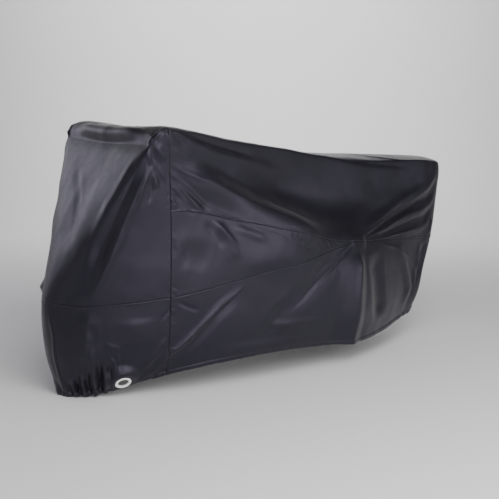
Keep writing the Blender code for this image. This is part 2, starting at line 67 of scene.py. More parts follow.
# The lines round one side of the cover. Each row is a line at one drop, and holds a point for
# each turn from 0 to 12: distance along the cover, distance out from its middle, height.
LINES = {
    "top": (
        (-0.672, 0, 1.082), (-0.666, 0, 1.083), (-0.656, 0, 1.083), (-0.642, 0, 1.081),
        (-0.620, 0, 1.073), (-0.300, 0, 1.000), (0.000, 0, 0.962), (0.220, 0, 0.943),
        (0.450, 0, 0.930), (0.680, 0, 0.918), (0.880, 0, 0.905), (0.935, 0, 0.900),
        (0.960, 0, 0.896)),
    "shoulder": (
        (-0.712, 0, 1.020), (-0.712, 0.199, 1.024), (-0.709, 0.330, 1.030), (-0.691, 0.371, 1.045),
        (-0.640, 0.381, 1.072), (-0.300, 0.286, 1.020), (0.000, 0.212, 0.975),
        (0.220, 0.168, 0.938), (0.450, 0.150, 0.908), (0.680, 0.132, 0.896), (0.905, 0.125, 0.885),
        (0.988, 0.092, 0.874), (1.005, 0, 0.870)),
    "waist": (
        (-0.800, 0, 0.850), (-0.800, 0.150, 0.850), (-0.789, 0.273, 0.850), (-0.723, 0.323, 0.880),
        (-0.612, 0.339, 0.905), (-0.300, 0.284, 0.860), (0.010, 0.202, 0.800),
        (0.215, 0.182, 0.755), (0.430, 0.176, 0.725), (0.650, 0.167, 0.705), (0.888, 0.130, 0.690),
        (0.992, 0.082, 0.690), (1.012, 0, 0.690)),
    "upper": (
        (-0.900, 0, 0.640), (-0.887, 0.119, 0.645), (-0.835, 0.220, 0.680), (-0.729, 0.288, 0.730),
        (-0.597, 0.315, 0.766), (-0.300, 0.317, 0.715), (-0.020, 0.331, 0.645),
        (0.165, 0.296, 0.597), (0.360, 0.262, 0.567), (0.600, 0.198, 0.550), (0.862, 0.124, 0.522),
        (0.960, 0.086, 0.510), (0.985, 0, 0.508)),
    "lower": (
        (-0.980, 0, 0.425), (-0.950, 0.087, 0.420), (-0.869, 0.173, 0.415), (-0.735, 0.245, 0.425),
        (-0.585, 0.283, 0.434), (-0.300, 0.308, 0.430), (-0.020, 0.320, 0.420),
        (0.180, 0.311, 0.410), (0.370, 0.293, 0.400), (0.590, 0.205, 0.390), (0.825, 0.116, 0.375),
        (0.920, 0.086, 0.370), (0.945, 0, 0.368)),
    "knee": (
        (-0.972, 0, 0.200), (-0.946, 0.073, 0.198), (-0.868, 0.147, 0.200), (-0.740, 0.213, 0.215),
        (-0.580, 0.255, 0.235), (-0.290, 0.294, 0.260), (-0.020, 0.305, 0.260),
        (0.190, 0.301, 0.250), (0.375, 0.291, 0.240), (0.580, 0.208, 0.240), (0.795, 0.115, 0.245),
        (0.885, 0.086, 0.245), (0.910, 0, 0.245)),
    "hem": (
        (-0.930, 0, 0.038), (-0.900, 0.064, 0.040), (-0.830, 0.110, 0.046), (-0.720, 0.162, 0.074),
        (-0.575, 0.223, 0.112), (-0.290, 0.273, 0.141), (-0.020, 0.282, 0.145),
        (0.200, 0.278, 0.133), (0.380, 0.266, 0.120), (0.570, 0.199, 0.128), (0.765, 0.112, 0.150),
        (0.848, 0.069, 0.156), (0.868, 0, 0.158)),
}
# How sharply the cloth turns where it crosses each line: 0 is a smooth curve, 1 a crease.
SHARP = (0.0, 0.55, 0.0, 0.1, 0.15, 0.0, 0.0)

# This puts the lowest hem on the floor, with the middle of the cover over the origin.
SHIFT = (-0.0159, 0.0001, -0.0377)
print(len(LINES), "lines of", len(LINES["top"]), "points each")

# %% [markdown]
# Between its points each line is a Hermite curve, which leaves one point and reaches the next
# in given directions. A curve through many points looks smooth when it crosses each one in a
# direction that lies between those to its two neighbours, so that's how they are chosen here.

# %% Curves round the cover
def between(start, end, leave, arrive, share):
    """Points of a Hermite curve at shares from 0, its start, to 1, its end.

    It leaves the start in one direction and arrives at the end in another, and the four are
    added up with weights that are cubic in the share.
    """
    share = share[..., None]
    square = share * share
    cube = square * share
    curve = (2 * cube - 3 * square + 1) * start + (cube - 2 * square + share) * leave
    return curve + (3 * square - 2 * cube) * end + (cube - square) * arrive


def lines_at(turn):
    """Where each line of the table is at some turns on the near side.

    The direction at a station is the mean of the slopes before and after it, and the shorter
    length counts for more. Past both ends the stations are those of the far side.
    """
    table = np.array([LINES[name] for name in LINES], float)
    mirror = np.array([1.0, -1.0, 1.0])
    rows = np.concatenate([table[:, 1:2] * mirror, table, table[:, -2:-1] * mirror], axis=1)
    step = np.linalg.norm(np.diff(rows[2:6].mean(0), axis=0), axis=1)
    slope = np.diff(rows, axis=1) / step[None, :, None]
    course = slope[:, :-1] * step[None, 1:, None] + slope[:, 1:] * step[None, :-1, None]
    course = course / (step[:-1] + step[1:])[None, :, None]
    first = np.clip(turn.astype(int), 0, table.shape[1] - 2)
    share = np.broadcast_to(turn - first, (len(table), len(turn)))
    length = step[first + 1][None, :, None]
    return between(rows[:, first + 1], rows[:, first + 2], course[:, first] * length,
                   course[:, first + 1] * length, share)


ends = lines_at(np.array([0.0, BACK]))[0]
print("the top line runs from", ends[0].round(3), "to", ends[1].round(3))

# %% [markdown]
# The way down from line to line is the same kind of curve. Two families of curves that cross
# make one smooth surface, worked out for a whole grid of places at once. At the top line the
# cloth lies level, and at the seams it may turn more sharply.

# %% The smooth form
def smooth_face(turn, drop):
    """Points of the face without its folds, for arrays of turns and drops.

    First the seven lines are found at each turn, then the curve down through those seven
    points is found at each drop. The far side is the near side mirrored.
    """
    turn, drop = np.broadcast_arrays(np.asarray(turn, float), np.asarray(drop, float))
    shape = turn.shape
    turn = (turn.ravel() + BACK) % (2 * BACK) - BACK
    drop = drop.ravel()
    line = lines_at(np.abs(turn))
    gap = np.linalg.norm(np.diff(line, axis=0), axis=2) + 1e-9
    slope = np.diff(line, axis=0) / gap[..., None]
    course = np.empty_like(line)
    course[1:-1] = slope[:-1] * gap[1:, :, None] + slope[1:] * gap[:-1, :, None]
    course[1:-1] /= (gap[:-1] + gap[1:])[..., None]
    level = (line[1] - line[0]) * [1.0, 1.0, 0.0]
    course[0] = level / (np.linalg.norm(level, axis=1)[:, None] + 1e-9)
    course[-1] = slope[-1]
    course *= (1.0 - np.array(SHARP))[:, None, None]
    first = np.clip(drop.astype(int), 0, len(LINES) - 2)
    each = np.arange(len(turn))
    length = gap[first, each][:, None]
    point = between(line[first, each], line[first + 1, each], course[first, each] * length,
                    course[first + 1, each] * length, drop - first)
    point[:, 1] *= np.where(turn < 0, 1.0, -1.0)
    return point.reshape(shape + (3,))


print("hood width at the bar %.3f m" % (2 * abs(smooth_face(BAR, 1.0)[1])))

# %% [markdown]
# Sewing is measured in millimetres of cloth, and the places of the form in turns and drops. Two
# small functions give the length of cloth that goes with one unit of each.

# %% Lengths of cloth
def lower_seam(turn):
    """Drop of the lower seam: level under the hood, then a curve up to the upper seam."""
    return LOWER - np.clip((np.abs(turn) - BAR) / (WEDGE_END - BAR), 0.0, 1.0) ** 1.3


def speed_across(turn, drop, reach=0.01):
    """Metres of cloth for one unit of turn: a difference of two places, by the reach."""
    step = smooth_face(turn + reach, drop) - smooth_face(turn - reach, drop)
    return np.linalg.norm(step, axis=-1) / (2 * reach) + 1e-3


def speed_down(turn, drop, reach=0.01):
    """Metres of cloth for one unit of drop."""
    low = np.clip(drop - reach, 0, HEM)
    high = np.clip(drop + reach, 0, HEM)
    step = smooth_face(turn, high) - smooth_face(turn, low)
    return np.linalg.norm(step, axis=-1) / (high - low) + 1e-3


print("from the bar seam back: %.0f mm to one turn" % (1000 * speed_across(BAR, UPPER)))

# %% [markdown]
# Cloth that is held at points shows it in creases. A crease is a way across the cloth with a
# height and a spread: near the way the cloth is lifted along its own normal, and less so further
# off. These are the main folds of the near side. The greatest runs from the bar end to the
# pinch, where the two long seams of the side meet. More of them spread out from there, up to
# the back corner and down to the hem.

# %% The main folds of the near side
# Folds of the cloth. Each row: the way it runs, as (turn, drop) places; how far it stands out
# (a trough stands in, below 0); how far it spreads to the left and to the right of its way,
# looking along it from outside; and how sharp its crest is, from 0 to 1. Lengths in millimetres.
NEAR_FOLDS = (
    # the front of the hood, between the bar end and the nose
    (((3.2, 1.5), (2.9, 2.05), (2.65, 2.6), (2.5, 3.1), (2.25, 3.5), (1.9, 3.97)), 15, 45, 35, 0.7),
    (((2.5, 1.35), (2.45, 1.9), (2.25, 2.5), (2.05, 3.1), (1.9, 3.6)), -15, 50, 45, 0.1),
    (((2.0, 1.1), (2.1, 1.55), (2.05, 2.0), (1.85, 2.5), (1.6, 3.0)), 5, 70, 60, 0.2),
    (((2.05, 1.0), (3.1, 0.95), (3.9, 0.93)), 7, 25, 25, 0.9),
    (((3.15, 1.3), (3.28, 1.78)), -6, 22, 22, 0.3),
    (((3.3, 1.25), (3.9, 1.66)), 6, 22, 22, 0.7),
    (((3.45, 1.8), (3.6, 2.25)), 6, 25, 25, 0.3),
    # from the bar end back and down to the pinch
    (((4.1, 1.75), (4.6, 2.1), (5.3, 2.54), (6.3, 2.84), (7.3, 2.96)), 27, 70, 80, 0.2),
    (((4.05, 1.95), (4.3, 2.4), (4.6, 2.93)), -5, 28, 28, 0.5),
    (((4.05, 2.12), (4.25, 2.55), (4.5, 3.0)), 5, 26, 26, 0.5),
    (((4.05, 2.4), (4.2, 2.7), (4.38, 3.02)), -4, 24, 24, 0.5),
    (((4.66, 3.03), (4.85, 3.28), (5.05, 3.55)), 5, 30, 55, 0.5),
    (((5.0, 3.62), (5.7, 3.5), (6.5, 3.36)), 4, 80, 60, 0.1),
    (((4.1, 3.5), (4.6, 3.55)), -4, 80, 60, 0.0),
    # the hollow under the top and the creases that run back along it
    (((5.5, 1.95), (6.2, 2.1), (7.0, 2.3), (7.9, 2.5)), -11, 120, 110, 0.0),
    (((8.0, 1.75), (9.0, 1.6), (10.0, 1.5)), -7, 70, 70, 0.0),
    (((4.25, 1.2), (4.7, 1.42), (5.5, 1.53), (6.15, 1.62)), 7, 30, 50, 0.6),
    (((4.2, 1.05), (4.65, 1.27), (5.4, 1.38)), -10, 28, 24, 0.4),
    # from the back corner down and forward to the pinch
    (((10.85, 1.3), (10.0, 1.62), (9.1, 2.0), (8.1, 2.85)), 13, 38, 45, 0.6),
    (((10.9, 1.5), (10.0, 1.88), (9.15, 2.2), (8.25, 2.9)), -5, 32, 32, 0.4),
    (((10.9, 1.75), (10.1, 2.1), (9.2, 2.45), (8.4, 2.92)), 7, 34, 34, 0.6),
    (((10.7, 2.05), (10.0, 2.4), (9.3, 2.65), (8.6, 2.95)), -4, 30, 30, 0.4),
    (((10.6, 2.4), (9.9, 2.7), (9.2, 2.93)), 4, 30, 30, 0.4),
    (((7.7, 2.98), (8.25, 2.98)), 9, 60, 60, 0.1),
    # under the pinch
    (((7.8, 3.1), (7.2, 3.35), (6.6, 3.75), (5.75, 4.68), (5.3, 5.6)), -9, 85, 55, 0.4),
    (((8.0, 3.05), (7.85, 3.98), (7.75, 5.0), (7.65, 6.0)), 19, 60, 130, 0.5),
    (((8.5, 3.3), (8.6, 4.2), (8.75, 5.4)), -17, 70, 90, 0.0),
    (((9.15, 3.15), (9.6, 3.75), (9.95, 4.65), (9.8, 5.6)), 10, 40, 50, 0.5),
    (((10.0, 3.06), (10.1, 3.6), (10.2, 4.3)), 4, 30, 30, 0.5),
    (((10.4, 3.03), (10.5, 3.7), (10.55, 4.4)), -7, 34, 34, 0.4),
    # low on the side, running forward to the hem
    (((5.15, 3.86), (4.75, 4.3), (4.35, 4.82), (3.9, 5.4), (3.45, 5.85)), 6, 22, 30, 0.7),
    (((5.1, 4.1), (4.7, 4.55), (4.3, 5.1), (3.95, 5.6)), -4, 30, 34, 0.3),
    (((3.95, 4.75), (3.7, 5.15), (3.4, 5.55)), 5, 24, 24, 0.6),
    (((4.6, 5.6), (5.6, 5.7), (6.6, 5.72)), 4, 40, 40, 0.0),
    # the corner of the front skirt
    (((2.0, 4.06), (1.95, 4.6), (1.9, 5.2)), 8, 60, 70, 0.4),
    (((3.2, 4.3), (3.3, 4.9)), 4, 90, 90, 0.0),
)
print(len(NEAR_FOLDS), "folds on the near side")

# %% [markdown]
# The far side hangs from the same places, so it has the same kinds of folds, but no two sides
# of a real cover fold alike. The third table holds what crosses the middle: the roll of cloth
# over the handlebar, the valleys behind it, and a few soft folds down the front and the back.

# %% The main folds of the far side and the middle
FAR_FOLDS = (
    (((-3.1, 1.6), (-2.8, 2.2), (-2.5, 2.9), (-2.1, 3.5), (-1.8, 3.95)), 14, 35, 45, 0.6),
    (((-2.3, 1.25), (-2.0, 2.0), (-1.7, 2.8)), -6, 45, 45, 0.1),
    (((-2.1, 1.0), (-3.1, 0.95), (-3.9, 0.94)), 6, 25, 25, 0.9),
    (((-0.5, 3.78), (-1.0, 3.84), (-1.7, 3.9)), 13, 30, 45, 0.5),
    (((-4.1, 1.85), (-4.7, 2.25), (-5.5, 2.6), (-6.6, 2.88), (-7.6, 2.97)), 15, 80, 70, 0.2),
    (((-4.05, 2.1), (-4.35, 2.55), (-4.7, 2.95)), -7, 30, 30, 0.4),
    (((-4.05, 2.35), (-4.25, 2.7), (-4.5, 3.02)), 7, 28, 28, 0.5),
    (((-5.0, 1.8), (-6.0, 2.1), (-7.5, 2.4)), -21, 100, 110, 0.1),
    (((-4.3, 1.25), (-4.9, 1.45), (-5.8, 1.55)), 7, 45, 30, 0.5),
    (((-10.8, 1.4), (-9.9, 1.8), (-9.0, 2.2), (-8.3, 2.8)), 11, 45, 38, 0.6),
    (((-10.8, 1.7), (-9.9, 2.1), (-9.1, 2.5), (-8.5, 2.9)), -8, 34, 34, 0.4),
    (((-10.7, 2.05), (-9.9, 2.4), (-9.0, 2.85)), 7, 34, 34, 0.5),
    (((-8.1, 2.98), (-8.3, 2.98)), 12, 60, 60, 0.6),
    (((-8.0, 3.1), (-7.3, 3.5), (-6.5, 4.2), (-6.0, 4.9)), -14, 50, 75, 0.4),
    (((-8.2, 3.05), (-8.1, 4.0), (-7.95, 5.0), (-7.9, 6.0)), 13, 120, 60, 0.4),
    (((-8.8, 3.4), (-8.9, 4.3), (-9.0, 5.3)), -11, 70, 70, 0.0),
    (((-9.9, 3.2), (-10.0, 4.0), (-10.0, 5.2)), 8, 45, 45, 0.4),
    (((-5.6, 3.9), (-5.1, 4.5), (-4.6, 5.1), (-4.2, 5.8)), 10, 38, 32, 0.6),
    (((-5.4, 4.2), (-4.9, 4.8), (-4.5, 5.4)), -7, 34, 34, 0.4),
    (((-4.5, 3.3), (-5.4, 3.5), (-6.4, 3.4)), 8, 60, 70, 0.1),
    (((-2.0, 4.06), (-1.95, 4.7), (-1.9, 5.3)), 8, 70, 60, 0.4),
    (((-3.0, 4.2), (-3.3, 5.0)), 7, 80, 80, 0.0),
)
MIDDLE_FOLDS = (
    (((-3.5, 0.66), (-2.0, 0.56), (0.0, 0.5), (2.0, 0.56), (3.3, 0.68)), 17, 40, 40, 0.0),
    (((-4.0, 1.02), (-3.0, 1.02), (-2.0, 1.02), (-1.0, 1.0), (0.3, 1.0)), -9, 45, 50, 0.7),
    (((-0.3, 1.0), (1.0, 1.0), (2.0, 1.02), (3.0, 1.03), (4.0, 1.04)), -9, 45, 50, 0.7),
    (((0.3, 1.6), (0.1, 2.4), (0.0, 3.2)), -5, 90, 90, 0.0),
    (((11.4, 1.6), (11.7, 2.6)), -5, 50, 50, 0.0),
    (((11.6, 3.1), (11.5, 4.4), (11.3, 5.6)), 6, 35, 35, 0.3),
    (((-11.2, 3.0), (-11.4, 4.5), (-11.3, 5.8)), 5, 40, 40, 0.3),
    (((11.9, 3.3), (11.95, 4.6), (11.9, 5.5)), -5, 35, 35, 0.2),
)
print(len(FAR_FOLDS), "folds on the far side,", len(MIDDLE_FOLDS), "in the middle")

# %% [markdown]
# An elastic in the hem draws the front skirt together. The cloth has nowhere to go but out and
# in, so it stands in deep gathers that start at the hem and die away upwards. Beside them sits
# an eyelet on each side, whose stiff ring holds the cloth flat.

# %% Gathers and the places of the eyelets
# Gathers that the elastic draws up along the hem. Each row: the turn of its deepest place at
# the hem, the drop where it dies away, how far it stands in or out and how far it spreads.
GATHERS = (
    (-2.05, 5.15, 9, 22), (-1.78, 5.30, -10, 20), (-1.45, 5.05, 10, 24), (-1.15, 5.25, -9, 20),
    (-0.80, 5.30, 5, 24), (-0.45, 5.45, -4, 20), (-0.10, 5.35, 4, 24), (0.25, 5.50, -4, 20),
    (0.58, 5.30, 5, 24), (0.95, 5.45, -8, 18), (1.18, 5.35, 10, 18), (1.40, 5.25, -14, 17),
    (1.62, 4.95, 12, 18), (1.83, 5.20, -9, 14), (2.04, 4.60, 18, 19), (2.22, 4.85, -22, 15),
    (2.37, 5.05, 12, 12), (2.52, 4.95, -18, 14),
)
GATHER_HELD = 0.4      # share of its height that a gather keeps at the hem itself

# The eyelets near the hem, one on each side of the front. Their rings hold the cloth flat.
EYELET_TURN = 2.86
EYELET_WAY = (-0.127, -0.770, -0.624)   # the way the near eyelet faces
EYELET_UP_HEM = 0.038                   # from the hem to the middle of the eyelet
EYELET_FLAT = (0.046, 0.085)            # the cloth is flat to the first, free past the second
print(len(GATHERS), "gathers; hem under the eyelet:", smooth_face(EYELET_TURN, HEM).round(3))

# %% [markdown]
# A fold lifts the cloth along its normal, the way its face looks. On a surface of two
# parameters that is the cross product of the way down and the way across, and both come from
# places close by. Where a fold begins or ends it eases in and out, without a corner.

# %% Normals and easing
def unit(way):
    """The same ways, each one unit long."""
    return way / (np.linalg.norm(way, axis=-1, keepdims=True) + 1e-12)


def normal_of(shape, turn, drop, reach=0.012):
    """The way a face looks, from four places close round each place on it.

    It is the cross product of the difference down and the difference across, one unit long.
    """
    low = np.maximum(drop, 0.04)
    across = shape(turn + reach, low) - shape(turn - reach, low)
    down = shape(turn, np.minimum(low + reach, HEM)) - shape(turn, low - reach)
    way = np.cross(down, across)
    # Along the top line both sides look the same way, so it can't lean to one of them.
    way[..., 1] = np.where(drop > 0, way[..., 1], 0.0)
    return unit(way)


def ease(share):
    """Goes smoothly from 0 to 1 as the share does, and stays there: 3 share^2 - 2 share^3."""
    share = np.clip(share, 0.0, 1.0)
    return share * share * (3.0 - 2.0 * share)


print("half way up the front the cloth looks", normal_of(smooth_face, 0.0, UPPER).round(2))

# %% [markdown]
# A fold needs three things for each point of the cloth: how far the point is from the way, on
# which side of it, and how far along it. All three come from the nearest leg of the way. A soft
# crest falls off as a bell, and a sharp one as the square of what is left of the spread.

# %% How a fold lifts the cloth
def fold_lift(point, way_out, rows):
    """How far the folds move each point along the way the smooth face looks.

    Each adds height * crest * rise * fall: the crest goes from 1 on the way to 0 at the spread,
    and rise and fall ease in and out over the fade, a share of the way's length. A gather is
    held at the hem, so there its rise starts from that share of its height.
    """
    lift = np.zeros(len(point))
    for way, height, left, right, crest, fade, held in rows:
        steps = np.linspace(0.0, len(way) - 1.0, 4 * (len(way) - 1) + 1)
        turn = np.interp(steps, np.arange(len(way)), way[:, 0])
        drop = np.interp(steps, np.arange(len(way)), way[:, 1])
        path = smooth_face(turn, drop)
        leg = np.diff(path, axis=0)
        far = np.concatenate([[0.0], np.cumsum(np.linalg.norm(leg, axis=1))])
        reach = max(left, right) / 1000.0
        box = (point > path.min(0) - reach) & (point < path.max(0) + reach)
        near = np.flatnonzero(box.all(axis=1))
        if not len(near):
            continue
        start = point[near, None] - path[None, :-1]
        share = np.clip((start * leg).sum(2) / (leg * leg).sum(1), 0.0, 1.0)
        away = start - share[..., None] * leg
        gap = np.linalg.norm(away, axis=2)
        best = gap.argmin(axis=1)
        each = np.arange(len(near))
        side = (np.cross(way_out[near], leg[best]) * away[each, best]).sum(1)
        spread = np.where(side > 0, left, right) / 1000.0
        ratio = np.clip(gap[each, best] / spread, 0.0, 1.0)
        round_part = (1.0 - ratio ** 2) ** 2
        sharp_part = (1.0 - ratio) ** 2
        along = (far[best] + share[each, best] * np.diff(far)[best]) / far[-1]
        rise = held + (1.0 - held) * ease(along / 0.3) if drop[0] >= HEM else ease(along / fade)
        fall = np.ones(len(near)) if drop[-1] >= HEM else ease((1.0 - along) / fade)
        size = (1.0 - crest) * round_part + crest * sharp_part
        lift[near] += height / 1000.0 * size * rise * fall
    return lift


main_rows = [(np.array(way, float), *rest, 0.25, 1.0)
             for way, *rest in NEAR_FOLDS + FAR_FOLDS + MIDDLE_FOLDS]
for turn, end, height, spread in GATHERS:
    way = np.array(((turn, HEM), (turn * 1.01, (HEM + end) / 2), (turn * 1.03, end)))
    main_rows.append((way, height, spread, spread, 0.4, 0.9, GATHER_HELD))
print(len(main_rows), "main folds")

# %% [markdown]
# Everything at an eyelet is measured from its middle, along three ways square to each other:
# out of the ring, up in its plane, and across. The far eyelet is the near one mirrored.

# %% The frame of an eyelet
def eyelet_frame(side):
    """The middle of an eyelet and the ways out, up and across it; side is 1 near, -1 far."""
    mirror = np.array([1.0, float(side), 1.0])
    way_out = unit(np.array(EYELET_WAY)) * mirror
    up = unit(np.array([0.0, 0.0, 1.0]) - way_out[2] * way_out)
    hem = smooth_face(side * EYELET_TURN, HEM)
    return hem + up * EYELET_UP_HEM, way_out, up, np.cross(up, way_out)


print("the eyelets are %.0f mm apart" % (2000 * abs(eyelet_frame(1)[0][1])))

# %% [markdown]
# The fine creases have the same form as the main folds, and are what makes thin coated cloth
# look thin. The sharpest ones bunch up where the cloth is held: round the bar end, along the
# seam under it, round the pinch and over the hem.

# %% The fine creases
FINE_FOLDS = (
    # the cloth bunched round the near bar end
    (((2.12, 1.04), (2.75, 0.93), (3.34, 0.94), (3.80, 0.95)), 6, 12, 12, 0.8),
    (((3.99, 0.89), (4.07, 1.21), (4.18, 1.42)), 4, 11, 11, 0.7),
    (((3.90, 0.91), (4.14, 1.29), (4.32, 1.44)), -4, 9, 9, 0.6),
    (((3.81, 0.89), (3.33, 1.09), (3.17, 1.23)), -4, 9, 9, 0.6),
    (((3.92, 0.96), (3.96, 1.27), (4.02, 1.45)), 4, 9, 9, 0.7),
    (((4.05, 0.98), (4.26, 1.19), (4.46, 1.30)), 3.5, 10, 10, 0.6),
    (((3.05, 1.26), (3.54, 1.48), (3.85, 1.67)), 5, 8, 8, 0.8),
    (((3.36, 1.32), (3.69, 1.49), (3.87, 1.60)), -3.5, 7, 7, 0.5),
    (((2.45, 1.28), (3.01, 1.49), (3.32, 1.68)), 7, 14, 10, 0.7),
    (((3.16, 1.47), (3.50, 1.64), (3.76, 1.77)), -4, 9, 9, 0.5),
    (((4.02, 1.45), (4.19, 1.59), (4.37, 1.68)), 3, 12, 12, 0.5),
    # the ridge that runs from the bar end down to the nose
    (((3.28, 1.70), (3.15, 1.90), (3.04, 2.16), (2.97, 2.45), (2.78, 2.72)), 7, 13, 16, 0.8),
    (((2.71, 2.67), (2.71, 3.00), (2.63, 3.18), (2.43, 3.33), (2.19, 3.62),
      (1.94, 3.94)), 5, 14, 12, 0.8),
    (((3.36, 1.73), (3.60, 1.97), (3.75, 2.25)), -5, 10, 10, 0.5),
    (((3.52, 1.74), (3.74, 1.92), (3.87, 2.14)), 4, 8, 8, 0.7),
    (((3.30, 1.89), (3.42, 2.25), (3.32, 2.60)), -4, 14, 14, 0.2),
    (((1.82, 2.10), (1.84, 2.58), (1.74, 3.16)), 4, 40, 50, 0),
    (((-0.91, 1.57), (-0.01, 2.25), (0.81, 3.10)), -3, 22, 40, 0),
    # pulled away from the seam under the bar end
    (((3.98, 1.87), (4.22, 2.24), (4.43, 2.58), (4.64, 2.87)), 5, 12, 12, 0.7),
    (((4.00, 2.03), (4.19, 2.48), (4.34, 2.82)), -4, 9, 9, 0.5),
    (((4.00, 2.19), (4.16, 2.59), (4.28, 2.92)), 4, 9, 9, 0.7),
    (((4.00, 2.43), (4.11, 2.75), (4.22, 2.99)), -3.5, 8, 8, 0.5),
    (((4.01, 2.59), (4.10, 2.83)), 3, 8, 8, 0.6),
    (((3.99, 1.74), (4.26, 1.93), (4.56, 2.12)), 4, 14, 14, 0.4),
    (((4.59, 3.05), (4.74, 3.14), (4.88, 3.25), (5.05, 3.37)), 4, 18, 26, 0.6),
    (((4.47, 3.10), (4.63, 3.24), (4.82, 3.40)), -3.5, 30, 24, 0.1),
    (((4.91, 3.10), (5.19, 3.16), (5.51, 3.23)), 3, 22, 26, 0.1),
    # round the pinch and back to the tail
    (((7.91, 2.97), (8.42, 2.69), (8.98, 2.30), (9.58, 1.85), (10.64, 1.43)), 6, 12, 20, 0.8),
    (((8.07, 2.94), (8.60, 2.67), (9.15, 2.31), (9.69, 1.96), (10.94, 1.75)), -6, 11, 12, 0.6),
    (((8.16, 2.95), (8.79, 2.68), (9.38, 2.31), (10.30, 1.97)), 5, 10, 12, 0.7),
    (((8.37, 2.96), (9.04, 2.72), (9.64, 2.42), (10.41, 2.26)), -4, 10, 12, 0.4),
    (((8.56, 3.01), (9.18, 2.87), (9.90, 2.65)), 4, 10, 10, 0.6),
    (((7.94, 3.00), (7.51, 3.33), (7.07, 3.64), (6.61, 3.96), (6.22, 4.40),
      (5.86, 4.72)), -6, 12, 22, 0.7),
    (((7.77, 3.03), (7.27, 3.40), (6.73, 3.77)), 3.5, 12, 10, 0.4),
    (((7.53, 3.06), (7.04, 3.43), (6.61, 3.68)), -3, 10, 10, 0.3),
    (((7.97, 3.02), (7.93, 3.53), (7.79, 4.13), (7.72, 4.81)), 4, 18, 30, 0.4),
    (((8.69, 3.11), (9.23, 3.27), (9.69, 3.55), (10.18, 4.15), (10.40, 5.00)), 5, 16, 14, 0.6),
    (((9.95, 3.18), (10.13, 3.62), (10.40, 4.16)), 6, 12, 12, 0.7),
    (((10.37, 3.15), (10.45, 3.66), (10.44, 4.64)), -5, 10, 10, 0.5),
    (((10.55, 2.38), (10.62, 2.67), (10.51, 2.95)), 6, 9, 9, 0.7),
    (((8.07, 0.00), (8.47, 0.49), (9.15, 0.98), (10.52, 1.12)), 4, 20, 14, 0.5),
    (((7.29, 0.89), (8.33, 1.14), (9.65, 1.30)), -4, 20, 24, 0.2),
    # small tucks along the upper seam near the pinch
    (((5.83, 2.96), (5.86, 3.10), (5.91, 3.20)), 3, 8, 8, 0.5),
    (((6.00, 2.96), (6.04, 3.11), (6.16, 3.21)), -3, 7, 7, 0.5),
    (((6.29, 2.94), (6.32, 3.11), (6.44, 3.24)), 3, 8, 8, 0.5),
    (((6.62, 2.95), (6.69, 3.13), (6.84, 3.27)), -3, 8, 8, 0.5),
    (((6.93, 2.95), (7.06, 3.16), (7.16, 3.30)), 3.5, 8, 8, 0.6),
    (((7.23, 2.95), (7.28, 3.17)), -3, 7, 7, 0.5),
    # low on the side
    (((5.19, 3.81), (4.88, 4.21), (4.44, 4.68), (4.16, 5.04), (3.85, 5.62)), 4, 8, 9, 0.8),
    (((5.17, 3.88), (4.93, 4.22), (4.51, 4.72), (4.23, 5.11)), -3.5, 7, 7, 0.5),
    (((4.29, 5.11), (4.09, 5.48), (3.78, 5.77)), 3, 9, 9, 0.6),
    (((4.08, 4.07), (4.22, 4.23), (4.42, 4.38)), -3, 14, 14, 0.3),
    (((4.02, 4.03), (4.00, 4.23), (3.75, 4.47)), -2.5, 12, 12, 0.3),
    (((5.37, 4.91), (5.95, 5.00), (6.81, 4.94)), 3, 24, 24, 0),
    # at the front over the hem
    (((2.16, 4.88), (2.15, 5.28), (2.09, 5.80)), 5, 10, 12, 0.7),
    (((2.34, 5.07), (2.31, 5.39), (2.29, 5.78)), -6, 10, 10, 0.6),
    (((2.43, 5.35), (2.41, 5.56), (2.40, 5.86)), 4, 7, 7, 0.7),
    (((2.54, 5.22), (2.55, 5.53), (2.59, 5.91)), -5, 9, 9, 0.6),
    (((2.52, 4.99), (2.65, 5.10), (2.70, 5.26), (2.64, 5.39)), 6, 12, 12, 0.5),
    (((2.75, 4.90), (2.79, 5.15), (2.75, 5.42)), 5, 9, 9, 0.6),
    (((1.82, 5.48), (1.78, 5.71), (1.78, 5.97)), -4, 9, 9, 0.6),
    (((1.57, 5.31), (1.50, 5.62), (1.45, 5.93)), -6, 10, 10, 0.6),
    (((1.70, 5.36), (1.65, 5.65), (1.61, 5.96)), 6, 9, 9, 0.6),
    (((1.31, 5.37), (1.22, 5.64), (1.11, 5.92)), 6, 10, 10, 0.6),
    (((2.01, 5.58), (1.98, 5.85)), -8, 9, 9, 0.5),
    (((0.40, 4.12), (0.69, 4.58), (0.62, 5.04), (0.60, 5.51), (0.70, 5.85)), 4, 12, 16, 0.5),
    (((2.04, 4.30), (2.11, 4.59), (1.99, 4.89)), -4, 30, 24, 0),
    (((3.06, 5.93), (3.30, 5.89), (3.59, 5.76), (3.94, 5.51)), 4, 10, 10, 0.6),
    (((3.16, 6.00), (3.60, 6.00), (4.02, 5.69)), -4, 10, 10, 0.4),
    (((2.42, 4.70), (2.62, 4.79), (2.85, 4.85)), 3, 14, 14, 0.2),
)
print(len(FINE_FOLDS), "fine creases in the table")

# %% [markdown]
# Sewing draws the cloth up a little at every stitch, which leaves hundreds of small tucks. They
# have no order, so chance places them, from a fixed seed that gives the same cover each time.
# Only how many, how long and how high is decided, and that follows the real thing: more where
# the cloth hangs in folds, and most where the elastic gathers it. The far side has the near
# side's fine creases, mirrored, with a chance shift each.

# %% Small tucks along seams and hem
BESIDE = 0.01          # how far from a seam its tucks start, in turns or drops
chance = np.random.default_rng(7)


